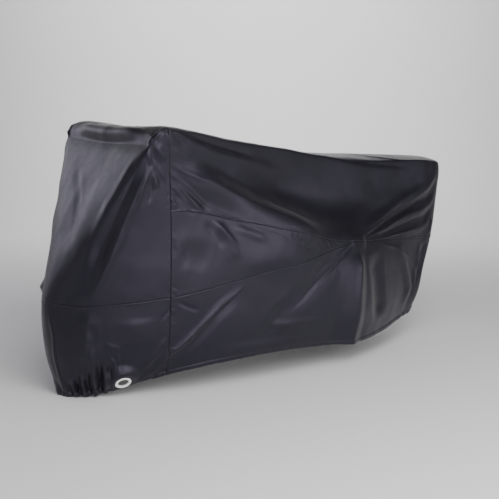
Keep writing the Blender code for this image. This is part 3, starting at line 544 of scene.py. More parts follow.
def far_of(rows):
    """The rows mirrored to the far side, each moved and weakened by chance.

    The rows of the middle and of the gathers stay out: those have far sides of their own.
    """
    made = []
    for way, lift, left, right, crest in rows:
        if max(place[0] for place in way) < 1.2 or way[0][1] > 4.9 and way[0][0] < 3:
            continue
        move = chance.normal(0.0, 0.05, 2)
        way = [(-turn + move[0], min(max(drop + move[1], 0.0), HEM)) for turn, drop in way]
        made.append((way, lift * chance.uniform(0.5, 1.1), right, left, crest))
    return made


def tuck(turn, drop, angle, length, lift, spread, crest=0.4):
    """A short crease of a length in metres. Angle 0 runs backwards and 90 straight down.

    Its end is the place + the two parts of the length, each over the metres of one unit there.
    """
    side = 1.0 if turn >= 0 else -1.0
    across = math.cos(math.radians(angle)) * length / float(speed_across(turn, drop))
    down = math.sin(math.radians(angle)) * length / float(speed_down(turn, min(drop, 5.98)))
    end = (turn + side * across, min(max(drop + down, 0.0), HEM))
    middle = ((turn + end[0]) / 2 + chance.normal(0, 0.03) * side * across, (drop + end[1]) / 2)
    return ((turn, drop), middle, end), lift, spread, spread, crest


def any_tuck(turn, drop, angle, lengths, heights, spreads):
    """A tuck at a place, up or down, with its size from three ranges."""
    length = chance.uniform(*lengths)
    lift = chance.choice((-1, 1)) * chance.uniform(*heights)
    return tuck(turn, drop, angle, length, lift, chance.uniform(*spreads))


def hump(turn, middle, width):
    """A bell: 1 at the middle, and near 0 past twice its width."""
    return math.exp(-((turn - middle) / width) ** 2)


def seam_tucks():
    """Small tucks on both sides of each seam, more so where the cloth hangs in folds."""
    rows = []
    for side in (1.0, -1.0):
        # down the bar seam
        for drop in np.arange(1.25, 5.8, 0.135):
            place = drop + chance.uniform(-0.04, 0.04)
            rows.append(any_tuck(side * (BAR + BESIDE), place, chance.uniform(25, 60),
                                 (0.012, 0.04), (0.8, 2.0), (5, 9)))
            rows.append(any_tuck(side * (BAR - BESIDE), place, 180 - chance.uniform(10, 50),
                                 (0.008, 0.022), (0.5, 1.4), (4, 8)))
        # along the upper seam: busy at the pinch and at the back corner
        for turn in np.arange(4.3, 11.9, 0.17):
            at = side * (turn + chance.uniform(-0.05, 0.05))
            busy = hump(turn, 7.4, 1.2) + hump(turn, 10.9, 0.8)
            for away, angle in ((BESIDE, 90), (-BESIDE, 270)):
                rows.append(any_tuck(at, UPPER + away, angle + chance.uniform(-35, 35),
                                     (0.01, 0.02 + 0.015 * busy), (0.4, 0.9 + busy), (4, 8)))
        # along the lower seam: busy under the front corner
        for turn in np.arange(0.15, 7.5, 0.16):
            at = side * (turn + chance.uniform(-0.05, 0.05))
            busy = hump(turn, 1.1, 0.9)
            for away, angle in ((BESIDE, 90), (-BESIDE, 270)):
                drop = float(lower_seam(at)) + away
                rows.append(any_tuck(at, drop, angle + chance.uniform(-35, 35),
                                     (0.01, 0.022 + 0.012 * busy), (0.4, 0.9 + 1.2 * busy),
                                     (4, 8)))
    return rows


def hem_tucks():
    """Gathers of the elastic: many and deep at the front and back, few along the side."""
    rows = []
    for side in (1.0, -1.0):
        # The steps are lengths of cloth, so they are the same distance apart on every side.
        turn = 0.05
        while turn < BACK - 0.05:
            drawn = 0.35 + hump(turn, 0.0, 2.6) + 0.7 * hump(turn, 11.0, 1.6)
            long = 0.6 + drawn
            rows.append(any_tuck(side * turn, HEM, 270 + chance.uniform(-30, 30),
                                 (0.02 * long, 0.035 * long), (1.2 * drawn, 2.6 * drawn),
                                 (6, 11)))
            turn += chance.uniform(0.010, 0.024) / float(speed_across(turn, HEM - 0.01))
    return rows


small_rows = [(np.array(way, float), *rest, 0.3, 1.0) for way, *rest in
              list(FINE_FOLDS) + far_of(FINE_FOLDS) + seam_tucks() + hem_tucks()]
print(len(small_rows), "fine creases with those of chance")

# %% [markdown]
# A seam is a place of its own: the edges of two panels are folded under and stitched through,
# which makes a low ridge a few millimetres wide with a groove along the thread. The hem is the
# same thing at the edge, a tube of cloth that holds the elastic. Over all lies the faint
# waviness of cloth that was packed away folded. It is a sum of waves in different directions,
# each a fraction of a millimetre high.

# %% Seams, hem and waviness
FOLDED_EDGE = 0.009    # width of the cloth folded under at a seam
EDGE_RISE = 0.0006     # how far it stands out
EDGE_GROOVE = 0.0003   # depth of the groove along its thread
SEAM_DIP = 0.0006      # depth of the line where two panels meet
HEM_TUBE = 0.020       # height of the tube that holds the elastic
TUBE_RISE = 0.0016
TUBE_GROOVE = 0.0010
WAVES = 22             # how many waves the waviness is the sum of
WAVE_LENGTHS = (0.045, 0.19)
WAVE_RISE = 0.0014     # height of a wave as a share of its length


def ridge(far):
    """The folded edge of a panel, by the distance from its seam in metres.

    It rises over the first millimetres, is flat, and falls again round its width, where the
    thread draws a groove in the form of a bell.
    """
    step = (1.0 - ease((far - FOLDED_EDGE + 0.003) / 0.004)) * ease((far + 0.002) / 0.003)
    groove = np.exp(-((far - FOLDED_EDGE) / 0.0025) ** 2)
    return EDGE_RISE * step - EDGE_GROOVE * groove


def seam_lift(turn, drop):
    """How far seams and hem stand out, from the distances to them in metres."""
    down = speed_down(turn, drop)
    past_bar = np.abs(turn) > BAR
    upper = np.where(past_bar, (drop - UPPER) * down, 1.0)
    lower = (drop - lower_seam(turn)) * down
    lower = np.where(np.abs(turn) < WEDGE_TIP, lower, 1.0)
    upright = (np.abs(turn) - BAR) * speed_across(turn, drop)
    lift = ridge(-upper) + ridge(lower) + ridge(upright)
    for far in (upper, lower, upright):
        lift -= SEAM_DIP * np.exp(-(far / 0.0022) ** 2)
    above_hem = (HEM - drop) * down
    lift -= TUBE_GROOVE * np.exp(-((above_hem - HEM_TUBE) / 0.003) ** 2)
    round_tube = np.clip(1.0 - ((above_hem - HEM_TUBE / 2) / (HEM_TUBE / 2)) ** 2, 0.0, 1.0)
    return lift + TUBE_RISE * np.sqrt(round_tube)


def waviness(point):
    """A sum of waves: height * sin(way . point + phase), for ways of chance directions."""
    dice = np.random.default_rng(11)
    lift = np.zeros(point.shape[:-1])
    for _ in range(WAVES):
        way = dice.normal(size=3)
        length = dice.uniform(*WAVE_LENGTHS)
        way *= 2 * np.pi / length / np.linalg.norm(way)
        lift += length * WAVE_RISE * np.sin(point @ way + dice.uniform(0, 2 * np.pi))
    return lift


print("the folded edge of a seam stands out %.1f mm" % (1000 * ridge(FOLDED_EDGE / 2)))

# %% [markdown]
# Now the real face of the cloth can be put together: the smooth form, and one lift that is the
# sum of the seams, the waviness, the main folds and the fine creases. Last, the cloth round
# each eyelet is pressed into the plane of its ring.

# %% The face of the cloth
def face(turn, drop):
    """Points of the outer face of the cloth: smooth form + lift * normal, then the eyelets."""
    turn, drop = np.broadcast_arrays(np.asarray(turn, float), np.asarray(drop, float))
    point = smooth_face(turn, drop)
    way_out = normal_of(smooth_face, turn, drop)
    lift = seam_lift(turn, drop) + waviness(point)
    shape = point.shape
    point = point.reshape(-1, 3)
    way_out = way_out.reshape(-1, 3)
    lift = lift.reshape(-1) + fold_lift(point, way_out, main_rows)
    lift += fold_lift(point, way_out, small_rows)
    point = point + lift[:, None] * way_out
    for side in (1, -1):
        middle, out, up, across = eyelet_frame(side)
        gap = np.linalg.norm(point - middle, axis=1)
        held = 1.0 - ease((gap - EYELET_FLAT[0]) / (EYELET_FLAT[1] - EYELET_FLAT[0]))
        point = point - (held * ((point - middle) @ out))[:, None] * out
    return point.reshape(shape) + SHIFT


print("the tail is at", face(BACK, 0.0).round(3))

# %% [markdown]
# The cover is cut from six panels: the hood over the handlebar, the body over the saddle, a
# long wedge on each side, and the skirt in two lengths, the front one with its eyelets. Each is
# a grid of places between its seams. A third of a millimetre is left between two panels, which
# shows as the fine dark line of a real seam. The rows stand closer together at their seams, and
# the columns near the bar seam, because the finest creases lie there. A corner that both sides
# share is made once, so that the cloth is closed along the top and down the back.

# %% Cutting a panel
SEAM_GAP = 0.0003     # room left at a seam
CLOTH_WALL = 0.0012   # thickness drawn for the cloth
EYELET_CUT = 0.0245   # radius of the hole cut for an eyelet
COARSE = 1.0


def crowded(first, last, count, crowd=0.5, lean=0.0):
    """Numbers from first to last that stand closer at both ends, or by lean nearer the last.

    Formula: t - crowd * sin(2 pi t) / (2 pi) + lean * t * (1 - t), for t even from 0 to 1.
    """
    share = np.linspace(0.0, 1.0, max(3, int(count / COARSE)) + 1)
    share = (share - crowd * np.sin(2 * np.pi * share) / (2 * np.pi)
             + lean * share * (1.0 - share))
    return first + (last - first) * share


def round_back(turn):
    """Turns that run on past the middle of the back, as turns of the other side."""
    return (turn + BACK) % (2 * BACK) - BACK


def both_ways(turns):
    """The same turns on the far side and the near side, in one row."""
    if turns[0] == 0:
        return np.concatenate([-turns[:0:-1], turns])
    return np.concatenate([turns, 2 * BACK - turns[-2::-1]])


def new_mesh(name, corner, quads, uvs=None):
    """A mesh object from arrays of corners and four-sided faces."""
    used = np.unique(quads)
    number = np.zeros(len(corner), int)
    number[used] = np.arange(len(used))
    mesh = bpy.data.meshes.new(name)
    mesh.vertices.add(len(used))
    mesh.vertices.foreach_set("co", corner[used].astype(np.float32).ravel())
    mesh.loops.add(quads.size)
    mesh.loops.foreach_set("vertex_index", number[quads].ravel().astype(np.int32))
    mesh.polygons.add(len(quads))
    mesh.polygons.foreach_set("loop_start", np.arange(0, quads.size, 4, dtype=np.int32))
    mesh.polygons.foreach_set("use_smooth", np.ones(len(quads), bool))
    if uvs is not None:
        layer = mesh.uv_layers.new(name="cloth_metres")
        layer.data.foreach_set("uv", uvs.astype(np.float32).ravel())
    mesh.update(calc_edges=True)
    mesh.validate()
    piece = bpy.data.objects.new(name, mesh)
    bpy.context.collection.objects.link(piece)
    return piece


def cut_panel(name, turn, drop, hole_at=()):
    """A panel over a grid of places, with its UV map in metres of cloth.

    The places of the top line and of the middle of the back belong to both sides, so their
    corners are shared: a corner's number is that of the first corner with the same place.
    The map adds up the mean lengths of the rows down, and of the lower columns across.
    """
    point = face(round_back(turn), drop)
    across = np.linalg.norm(np.diff(point, axis=0), axis=2)
    down = np.linalg.norm(np.diff(point, axis=1), axis=2)
    middle = point.shape[1] // 2
    u = np.concatenate([[0.0], np.cumsum(across[:, middle:].mean(1))])
    v = np.concatenate([[0.0], np.cumsum(down.mean(0))])
    place = np.stack([round_back(turn), drop], axis=-1).reshape(-1, 2)
    place[:, 0] = np.where(place[:, 1] == 0, np.abs(place[:, 0]), place[:, 0])
    _, first, number = np.unique(place.round(7), axis=0, return_index=True, return_inverse=True)
    number = number.reshape(turn.shape)
    corner = point.reshape(-1, 3)[first]
    quads = np.stack([number[:-1, :-1], number[:-1, 1:], number[1:, 1:], number[1:, :-1]], -1)
    uv = np.stack(np.broadcast_arrays(u[:, None], -v[None, :]), -1)
    uvs = np.stack([uv[:-1, :-1], uv[:-1, 1:], uv[1:, 1:], uv[1:, :-1]], 2)
    quads = quads.reshape(-1, 4)
    uvs = uvs.reshape(-1, 4, 2)
    keep = np.ones(len(quads), bool)
    for side in hole_at:
        gap = np.linalg.norm(corner - eyelet_frame(side)[0] - SHIFT, axis=1)
        keep &= ~(gap[quads] < EYELET_CUT).any(axis=1)
    return new_mesh(name, corner, quads[keep], uvs[keep])


print("grids are %.0f times as coarse as in the final picture" % COARSE)

# %% [markdown]
# Every finish here is built from a few nodes of Blender's shader editor. One function adds a
# node, sets it and links it, so that a finish reads as a list of what it is made of. Colours
# are given as they look on a screen, and turned to the linear shares that light adds up in.

# %% Colours and nodes
def colour(code):
    """A colour from its sRGB hex code, as the linear shares that Blender works with."""
    shares = [int(code[k:k + 2], 16) / 255 for k in (1, 3, 5)]
    linear = [s / 12.92 if s <= 0.04045 else ((s + 0.055) / 1.055) ** 2.4 for s in shares]
    return (*linear, 1.0)


def add(tree, kind, settings, links=None):
    """Adds a node, sets its options and values, and links its inputs to the outputs given.

    An input goes by its name, or by its number from 0 where several share a name.
    """
    node = tree.nodes.new(kind)
    for name, value in settings.items():
        if isinstance(name, int) or name in node.inputs:
            node.inputs[name].default_value = value
        else:
            setattr(node, name, value)
    for name, output in (links or {}).items():
        tree.links.new(output, node.inputs[name])
    return node


def new_material(name):
    """A material with its node tree and the shader that everything leads to."""
    material = bpy.data.materials.new(name)
    material.use_nodes = True
    return material, material.node_tree, material.node_tree.nodes["Principled BSDF"]


print("mid grey #808080 is %.3f in linear light" % colour("#808080")[0])

# %% [markdown]
# Such covers are made of polyester taffeta, a close plain weave of shiny flat threads, with a
# thin polyurethane coat on the inside. The eye sees a very dark blue-grey with a silky shine:
# broad soft highlights that follow every fold, a little uneven where the cloth was creased. Two
# rows of bands that cross make the weave, a noise in the size of the creases of packing dents
# it, and a broad noise shades the dye. The threads of the real one are 0.15 mm apart, too fine
# to show, so they are drawn 1.2 mm apart.

# %% Taffeta
WEAVE = 0.0012         # drawn distance between two threads
BAND = 0.314           # distance between the bands of a wave texture of scale 1
CRINKLE = 0.016        # size of the faint dents left by packing


def taffeta(name, dark, light, rough):
    """Taffeta whose dye goes from dark to light, with its middle roughness."""
    material, tree, shader = new_material(name)
    metres = add(tree, "ShaderNodeUVMap", {"uv_map": "cloth_metres"}).outputs["UV"]
    place = add(tree, "ShaderNodeTexCoord", {}).outputs["Object"]
    warp, weft = [
        add(tree, "ShaderNodeTexWave",
            {"bands_direction": way, "Scale": BAND / WEAVE, "Distortion": 0.4, "Detail": 1.0},
            {"Vector": metres}).outputs["Fac"] for way in ("X", "Y")]
    threads = add(tree, "ShaderNodeMath", {"operation": "MAXIMUM"}, {0: warp, 1: weft})
    dents = add(tree, "ShaderNodeTexNoise",
                {"Scale": 1 / CRINKLE, "Detail": 4.0, "Roughness": 0.55}, {"Vector": place})
    broad = add(tree, "ShaderNodeTexNoise", {"Scale": 4.5, "Detail": 3.0}, {"Vector": place})
    dye = add(tree, "ShaderNodeMapRange",
              {"From Min": 0.35, "From Max": 0.65, "To Min": 0.0, "To Max": 0.7},
              {"Value": broad.outputs["Fac"]})
    shade = add(tree, "ShaderNodeMath", {"operation": "MULTIPLY_ADD", 1: 0.3},
                {0: threads.outputs[0], 2: dye.outputs["Result"]})
    base = add(tree, "ShaderNodeMix", {"data_type": "RGBA", "A": colour(dark), "B": colour(light)},
               {"Factor": shade.outputs[0]})
    uneven = add(tree, "ShaderNodeMapRange",
                 {"From Min": 0.3, "From Max": 0.7, "To Min": rough - 0.04,
                  "To Max": rough + 0.05}, {"Value": dents.outputs["Fac"]})
    weave = add(tree, "ShaderNodeBump", {"Strength": 0.25, "Distance": 0.0003},
                {"Height": threads.outputs[0]})
    dented = add(tree, "ShaderNodeBump", {"Strength": 0.4, "Distance": 0.0008},
                 {"Height": dents.outputs["Fac"], "Normal": weave.outputs["Normal"]})
    tree.links.new(base.outputs["Result"], shader.inputs["Base Color"])
    tree.links.new(uneven.outputs["Result"], shader.inputs["Roughness"])
    tree.links.new(dented.outputs["Normal"], shader.inputs["Normal"])
    shader.inputs["IOR"].default_value = 1.50
    return material, shader


# The flat threads of the outside shine like silk: highlights with a violet cast, and a trace of
# sheen where the cloth is seen at a flat angle.
cloth, shader = taffeta("polyester_taffeta_with_silky_face", "#0b0a10", "#121118", 0.37)
shader.inputs["Specular IOR Level"].default_value = 0.4
shader.inputs["Specular Tint"].default_value = (0.83, 0.775, 1.0, 1.0)
shader.inputs["Sheen Weight"].default_value = 0.08
shader.inputs["Sheen Roughness"].default_value = 0.4
# The coat fills the weave of the inside, which looks greyer and more even, like rubber.
coat, shader = taffeta("taffeta_inside_with_polyurethane_coat", "#15151a", "#1c1c22", 0.34)
print("materials:", cloth.name, "and", coat.name)

# %% [markdown]
# The sewing thread is twisted polyester, duller and a touch lighter than the cloth. Its twist
# is a fine noise, about a millimetre long. The rings of the eyelets are moulded from white ABS
# with a fine satin surface. Cords and locks scuff it, so that its shine is uneven and a little
# grey has rubbed into it.

# %% Thread and white plastic
thread, tree, shader = new_material("twisted_polyester_thread")
place = add(tree, "ShaderNodeTexCoord", {}).outputs["Object"]
twist = add(tree, "ShaderNodeTexNoise", {"Scale": 900.0, "Detail": 2.0}, {"Vector": place})
base = add(tree, "ShaderNodeMix",
           {"data_type": "RGBA", "A": colour("#1d1d24"), "B": colour("#33323d")},
           {"Factor": twist.outputs["Fac"]})
bump = add(tree, "ShaderNodeBump", {"Strength": 0.4, "Distance": 0.0002},
           {"Height": twist.outputs["Fac"]})
tree.links.new(base.outputs["Result"], shader.inputs["Base Color"])
tree.links.new(bump.outputs["Normal"], shader.inputs["Normal"])
shader.inputs["Roughness"].default_value = 0.6

plastic, tree, shader = new_material("moulded_white_abs")
place = add(tree, "ShaderNodeTexCoord", {}).outputs["Object"]
grain = add(tree, "ShaderNodeTexNoise", {"Scale": 1500.0, "Detail": 2.0}, {"Vector": place})
scuff = add(tree, "ShaderNodeTexNoise", {"Scale": 130.0, "Detail": 5.0}, {"Vector": place})
worn = add(tree, "ShaderNodeMapRange",
           {"From Min": 0.5, "From Max": 0.75, "To Min": 0.0, "To Max": 0.6},
           {"Value": scuff.outputs["Fac"]})
base = add(tree, "ShaderNodeMix",
           {"data_type": "RGBA", "A": colour("#f4f4f2"), "B": colour("#dcdcd8")},
           {"Factor": worn.outputs["Result"]})
uneven = add(tree, "ShaderNodeMapRange",
             {"From Min": 0.3, "From Max": 0.7, "To Min": 0.28, "To Max": 0.42},
             {"Value": scuff.outputs["Fac"]})
bump = add(tree, "ShaderNodeBump", {"Strength": 0.2, "Distance": 0.0001},
           {"Height": grain.outputs["Fac"]})
tree.links.new(base.outputs["Result"], shader.inputs["Base Color"])
tree.links.new(uneven.outputs["Result"], shader.inputs["Roughness"])
tree.links.new(bump.outputs["Normal"], shader.inputs["Normal"])
shader.inputs["IOR"].default_value = 1.54
print("and", thread.name, "and", plastic.name)

# %% [markdown]
# Each panel gets its own grid of turns and drops. The hood, the body and the front skirt lie
# between level seams, so their grids are plain. The lower seam of the wedge slopes, and so does
# the upper edge of the back skirt: there each column is divided into shares from seam to seam.

# %% A grid for each panel
seam_turn = SEAM_GAP / 2 / float(speed_across(BAR, UPPER))
seam_drop = SEAM_GAP / 2 / float(speed_down(6.0, UPPER))
front = both_ways(crowded(0.0, BAR - seam_turn, 104, 0.0, 0.35))
back = both_ways(crowded(BAR + seam_turn, BACK, 235, 0.0, -0.35))
grids = {}
grids["hood"] = np.meshgrid(front, crowded(0, LOWER - seam_drop, 130), indexing="ij")
grids["body"] = np.meshgrid(back, crowded(0, UPPER - seam_drop, 96), indexing="ij")
wedge_turn = crowded(BAR + seam_turn, WEDGE_TIP, 150, 0.0, -0.35)
turn, share = np.meshgrid(wedge_turn, crowded(0, 1, 60), indexing="ij")
drop = UPPER + seam_drop + share * (lower_seam(turn) - UPPER - 2 * seam_drop)
grids["wedge_left"] = (turn, drop)
grids["wedge_right"] = (-turn[::-1], drop[::-1])
wide = both_ways(crowded(0.0, BAR - seam_turn, 150, 0.0))
grids["skirt_front"] = np.meshgrid(wide, crowded(LOWER + seam_drop, HEM, 95), indexing="ij")
turn, share = np.meshgrid(back, crowded(0, 1, 78), indexing="ij")
start = lower_seam(round_back(turn)) + seam_drop
grids["skirt_back"] = (turn, start + share * (HEM - start))
print("places:", {name: turn.size for name, (turn, drop) in grids.items()})

# %% [markdown]
# A panel starts as one face without thickness, the outer one. The Solidify modifier gives it
# its wall on the inside and gives the inner face the second material, the coat. Each panel
# stands for the solid of the same name.

# %% The six panels
panels = {}
for name, (turn, drop) in grids.items():
    holes = (1, -1) if name == "skirt_front" else ()
    piece = cut_panel(name + "_panel", turn, drop, holes)
    wall = piece.modifiers.new("wall", "SOLIDIFY")
    wall.thickness = CLOTH_WALL
    wall.offset = -1.0
    wall.material_offset = 1
    piece.data.materials.append(cloth)
    piece.data.materials.append(coat)
    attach(piece, "root")
    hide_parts(name)
    panels[name] = piece
    print(name, len(piece.data.polygons), "faces")

# %% [markdown]
# The thread shows as a row of short stitches on the folded edge of each seam and along the tube
# of the hem. Each row is a line of many turns and drops, and the stitches are set down at equal
# lengths of cloth along it.

# %% The lines of stitches
STITCH = 0.0042        # from one stitch to the next
EDGE_STITCHED = FOLDED_EDGE - 0.0025   # from a seam to its stitches
TUBE_STITCHED = HEM_TUBE - 0.002       # from the hem to its stitches


def along_line(turns, drops):
    """Places one stitch apart along a line that is given by many turns and drops."""
    point = smooth_face(turns, drops)
    far = np.concatenate([[0.0], np.cumsum(np.linalg.norm(np.diff(point, axis=0), axis=1))])
    steps = np.arange(STITCH, far[-1] - STITCH, STITCH)
    return np.interp(steps, far, turns), np.interp(steps, far, drops)


def seam_rows():
    """The lines of stitches: each seam's folded edge, and the tube of the hem."""
    rows = []
    share = np.linspace(0.0, 1.0, 600)
    for side in (1.0, -1.0):
        turn = side * (BAR + 0.02 + share * (BACK - BAR - 0.02))
        at_seam = np.full_like(share, UPPER)
        rows.append((turn, UPPER - EDGE_STITCHED / speed_down(turn, at_seam)))
        drop = 0.95 + share * (HEM - 0.97)
        rows.append((side * (BAR + EDGE_STITCHED / speed_across(side * BAR, drop)), drop))
        turn = side * (0.001 + share * (WEDGE_END - 0.1))
        at_seam = lower_seam(turn)
        rows.append((turn, at_seam + EDGE_STITCHED / speed_down(turn, at_seam)))
        turn = side * (share * BACK)
        at_hem = np.full_like(share, HEM)
        rows.append((turn, HEM - TUBE_STITCHED / speed_down(turn, at_hem)))
    return rows


stitch_places = [along_line(turns, drops) for turns, drops in seam_rows()]
print(sum(len(turns) for turns, drops in stitch_places), "stitches")

# %% [markdown]
# One stitch is a ridge with a flat bottom: a point at each end, two low corners on each side
# and two on its crest. Eight corners and nine faces are enough for something 3 mm long. All of
# them are one mesh: the same corners are set down at each place, turned along the seam and
# tilted with the cloth.

# %% Topstitching
STITCH_LONG = 0.0031
THREAD = 0.0007        # width of a stitch
# Each corner of a stitch: along it, beside it and above it, as shares of its half length, its
# half width and its height.
STITCH_CORNERS = np.array((
    (-1, 0, 0.1), (-0.35, -1, 0.1), (-0.35, 1, 0.1), (-0.3, 0, 1),
    (0.35, -1, 0.1), (0.35, 1, 0.1), (0.3, 0, 1), (1, 0, 0.1)))
STITCH_FACES = (
    (0, 1, 3), (0, 3, 2), (1, 4, 6, 3), (3, 6, 5, 2), (4, 7, 6), (6, 7, 5), (0, 2, 1),
    (1, 2, 5, 4), (4, 5, 7))


def stitch_corners(turn, drop):
    """The corners of a row of stitches, from the places of their middles.

    Each is the middle + the sum of the three ways, along, beside and out, times its shares.
    """
    point = face(turn, drop)
    way_out = normal_of(face, turn, drop, 0.02)
    course = unit(np.gradient(point, axis=0))
    beside = np.cross(way_out, course)
    ways = np.stack([course * STITCH_LONG / 2, beside * THREAD / 2, way_out * THREAD * 0.6], 1)
    return (point[:, None] + STITCH_CORNERS @ ways).reshape(-1, 3)


corners = np.concatenate([stitch_corners(*places) for places in stitch_places])
total = len(corners) // len(STITCH_CORNERS)
mesh = bpy.data.meshes.new("topstitching")
mesh.from_pydata(corners.tolist(), [], [
    [len(STITCH_CORNERS) * number + corner for corner in row]
    for number in range(total) for row in STITCH_FACES])
sewing = bpy.data.objects.new("topstitching", mesh)
bpy.context.collection.objects.link(sewing)
mesh.materials.append(thread)
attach(sewing, "root")
print(len(mesh.polygons), "faces on", total, "stitches")

# %% [markdown]
# The eyelets are two white plastic rings each, snapped together through the cloth. Their
# section is walked round the middle of the eyelet, like clay on a wheel: a point of the ring is
# its distance out times a spoke, plus its height times the way the ring faces. A cord or a lock
# goes through both eyelets and keeps the cover on in wind.

# %% Eyelets
RING_SIDES = 96
# The section of the two rings: distance from the middle, height out from the cloth, in metres.
RING_SECTION = (
    (0.0210, -0.0028), (0.0213, -0.0034), (0.0222, -0.0037), (0.0296, -0.0034),
    (0.0305, -0.0030), (0.0306, -0.0024), (0.0300, -0.0019), (0.0250, -0.0016),
    (0.0243, -0.0012), (0.0243, 0.0006), (0.0250, 0.0009), (0.0314, 0.0010),
    (0.0320, 0.0014), (0.0319, 0.0020), (0.0311, 0.0027), (0.0290, 0.0033),
    (0.0262, 0.0035), (0.0236, 0.0032), (0.0219, 0.0024), (0.0212, 0.0014))


def make_eyelet(name, side):
    """The section turned about the eyelet's middle, and closed both ways round."""
    middle, way_out, up, across = eyelet_frame(side)
    section = np.array(RING_SECTION)
    around = np.linspace(0.0, 2 * np.pi, RING_SIDES, endpoint=False)
    spoke = np.cos(around)[:, None] * across + np.sin(around)[:, None] * up
    corner = (middle + np.array(SHIFT) + section[None, :, :1] * spoke[:, None]
              + section[None, :, 1:] * way_out)
    wide = len(section)
    spokes, points = np.meshgrid(np.arange(RING_SIDES), np.arange(wide), indexing="ij")
    after, above = (spokes + 1) % RING_SIDES, (points + 1) % wide
    quads = np.stack([spokes * wide + points, after * wide + points, after * wide + above,
                      spokes * wide + above], -1)
    return new_mesh(name, corner.reshape(-1, 3), quads.reshape(-1, 4))


for name, side in (("eyelet_left", 1), ("eyelet_right", -1)):
    ring = make_eyelet(name + "_ring", side)
    ring.data.materials.append(plastic)
    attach(ring, "root")
    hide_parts(name)

# %% [markdown]
# A sheet of cloth keeps its area however it hangs. For each panel, the areas of its faces and
# its map in metres of cloth are read here from the finished cloth, so they hold what the folds
# take up. The area of a cut is less than that of the rectangle round it, because the panels are
# shaped.

# %% The areas of the panels
# The areas of each panel's faces, and the places of its map in metres of cloth.
for name, piece in panels.items():
    areas = np.zeros(len(piece.data.polygons), np.float32)
    piece.data.polygons.foreach_get("area", areas)
    uv = np.zeros(len(piece.data.loops) * 2, np.float32)
    piece.data.uv_layers[0].data.foreach_get("uv", uv)

# %% [markdown]
# The stage is a sheet of pale paper: a floor that bends up into a wall far behind the cover, so
# that no edge shows between them. It is wide enough for views from any side.

# %% The paper
YAW = math.radians(34.0)      # the way the camera looks, turned from +Y towards +X
PAPER = "#ebebeb"
PAPER_WIDE = 30.0             # half its width, and how far it comes forward
WALL_AT = 5.5                 # from the middle of the cover to the wall, the way the camera looks
WALL_HIGH = 5.0
BEND = 1.6                    # radius of the bend


def paper_sweep():
    """Points of the floor, a quarter round and the wall, in rows along its two sides."""
    turn = np.linspace(0.0, math.pi / 2, 25)
    along = np.concatenate([[-PAPER_WIDE, 0.0], WALL_AT + BEND * (np.sin(turn) - 1.0), [WALL_AT]])
    height = np.concatenate([[0.0, 0.0], BEND * (1.0 - np.cos(turn)), [WALL_HIGH]])
    ends = np.array([-PAPER_WIDE, PAPER_WIDE])[:, None]
    east = along * math.sin(YAW) + ends * math.cos(YAW)
    north = along * math.cos(YAW) - ends * math.sin(YAW)
    return np.stack([east, north, np.broadcast_to(height, east.shape)], -1)


points = paper_sweep()
count = points.shape[1]
mesh = bpy.data.meshes.new("floor_paper")
mesh.from_pydata(points.reshape(-1, 3).tolist(), [],
                 [(k, count + k, count + k + 1, k + 1) for k in range(count - 1)])
mesh.polygons.foreach_set("use_smooth", np.ones(count - 1, bool))
floor = bpy.data.objects.new("floor_paper", mesh)
bpy.context.collection.objects.link(floor)
paper, tree, shader = new_material("matt_white_paper")
shader.inputs["Base Color"].default_value = colour(PAPER)
shader.inputs["Roughness"].default_value = 0.9
mesh.materials.append(paper)
print("paper in", len(mesh.polygons), "strips")

# %% [markdown]
# Dark satin cloth shows little of its own colour: what the eye sees is the light that its slopes
# throw back. So each soft box is there for one family of slopes. The two strong ones on the near
# side light the flank and the top, the small ones close to the floor light the skirts, and the
# weak cool ones on the far side draw the edges of the front. The last two light the paper, whose
# pale glow the cloth mirrors where it turns away from the eye.

# %% The lights
AIR = (1.0, 1.0, 1.0, 1.0)    # colour of the faint light that comes from everywhere
AIR_LIGHT = 0.09
MIDDLE = (0.0, 0.0, 0.5)      # a place inside the cover, which most lights face
VIOLET = (0.88, 0.85, 1.0)
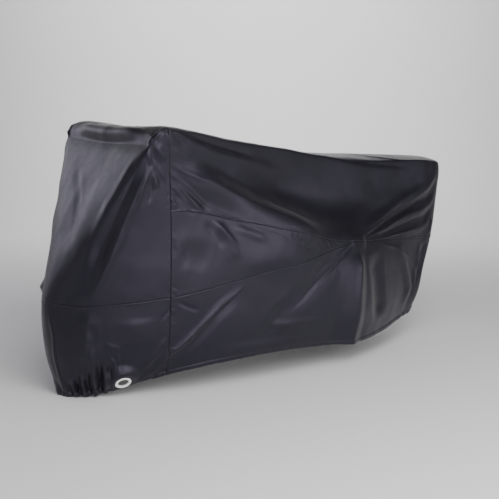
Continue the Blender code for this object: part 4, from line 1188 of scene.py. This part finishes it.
# Each light: its name, its place, what it faces, its width and height, its power in watts, and
# its tint where it has one.
LIGHTS = (
    ("key", (-1.13, -2.72, 2.56), MIDDLE, 1.8, 1.8, 54.0),
    ("side", (0.0, -3.55, 1.13), MIDDLE, 1.8, 1.8, 58.0),
    ("low_side", (1.3, -3.3, 0.5), MIDDLE, 1.6, 0.8, 17.0),
    ("low_near", (-1.4, -3.4, 0.45), MIDDLE, 1.4, 0.7, 18.0),
    ("low_front", (-2.51, -2.51, 1.13), MIDDLE, 1.8, 1.8, 10.0),
    ("front", (-3.55, 0.0, 1.13), MIDDLE, 1.8, 1.8, 8.0),
    ("side_back", (2.51, -2.51, 1.13), MIDDLE, 1.8, 1.8, 9.0),
    ("far_low", (-2.51, 2.51, 1.13), MIDDLE, 1.8, 1.8, 9.0, VIOLET),
    ("far_side", (-1.65, 2.95, 1.75), (-0.5, 0.0, 0.7), 1.8, 1.5, 13.0, VIOLET),
    ("top", (0.5, -1.0, 3.2), (0.1, -0.1, 0.9), 1.4, 1.4, 14.0),
    ("rim", (2.72, 1.13, 2.56), MIDDLE, 1.8, 1.8, 5.0),
    ("floor", (-1.2, -2.4, 3.6), (-0.9, -2.0, 0.0), 2.4, 2.4, 36.0),
    ("wall", (1.85, 2.74, 2.7), (3.07, 4.56, 0.7), 4.0, 0.5, 110.0),
)


def soft_box(name, place, aim, width, height, power, tint=(1.0, 1.0, 1.0)):
    """A rectangular soft light at a place, looking at an aim. The camera doesn't see it."""
    light = bpy.data.lights.new(name, "AREA")
    light.shape = "RECTANGLE"
    light.size = width
    light.size_y = height
    light.energy = power
    light.color = tint
    box = bpy.data.objects.new(name, light)
    box.location = place
    box.rotation_euler = (Vector(aim) - Vector(place)).to_track_quat("-Z", "Y").to_euler()
    box.visible_camera = False
    bpy.context.collection.objects.link(box)


for row in LIGHTS:
    soft_box(*row)
world = bpy.data.worlds.new("studio_air")
bpy.context.scene.world = world
world.use_nodes = True
world.node_tree.nodes["Background"].inputs["Color"].default_value = AIR
world.node_tree.nodes["Background"].inputs["Strength"].default_value = AIR_LIGHT
print(len(LIGHTS), "lights with", sum(row[5] for row in LIGHTS), "watts")

# %% [markdown]
# The camera stands in front of the near side, a little above the handlebar, and looks slightly
# down. It stands 4.5 m off with a long lens, so that near and far parts differ little in size.

# %% The camera and the size
PITCH = math.radians(9.394)   # how far the camera looks down
CAMERA_AT = (-2.4394, -3.5475, 1.2022)
LENS = 72.14                  # focal length in mm, for a picture 36 mm wide

camera = bpy.data.cameras.new("camera")
camera.sensor_width = 36.0
camera.lens = LENS
view = bpy.data.objects.new("camera", camera)
level = math.cos(PITCH)
look = Vector((math.sin(YAW) * level, math.cos(YAW) * level, -math.sin(PITCH)))
view.location = CAMERA_AT
view.rotation_euler = look.to_track_quat("-Z", "Y").to_euler()
bpy.context.collection.objects.link(view)
bpy.context.scene.camera = view
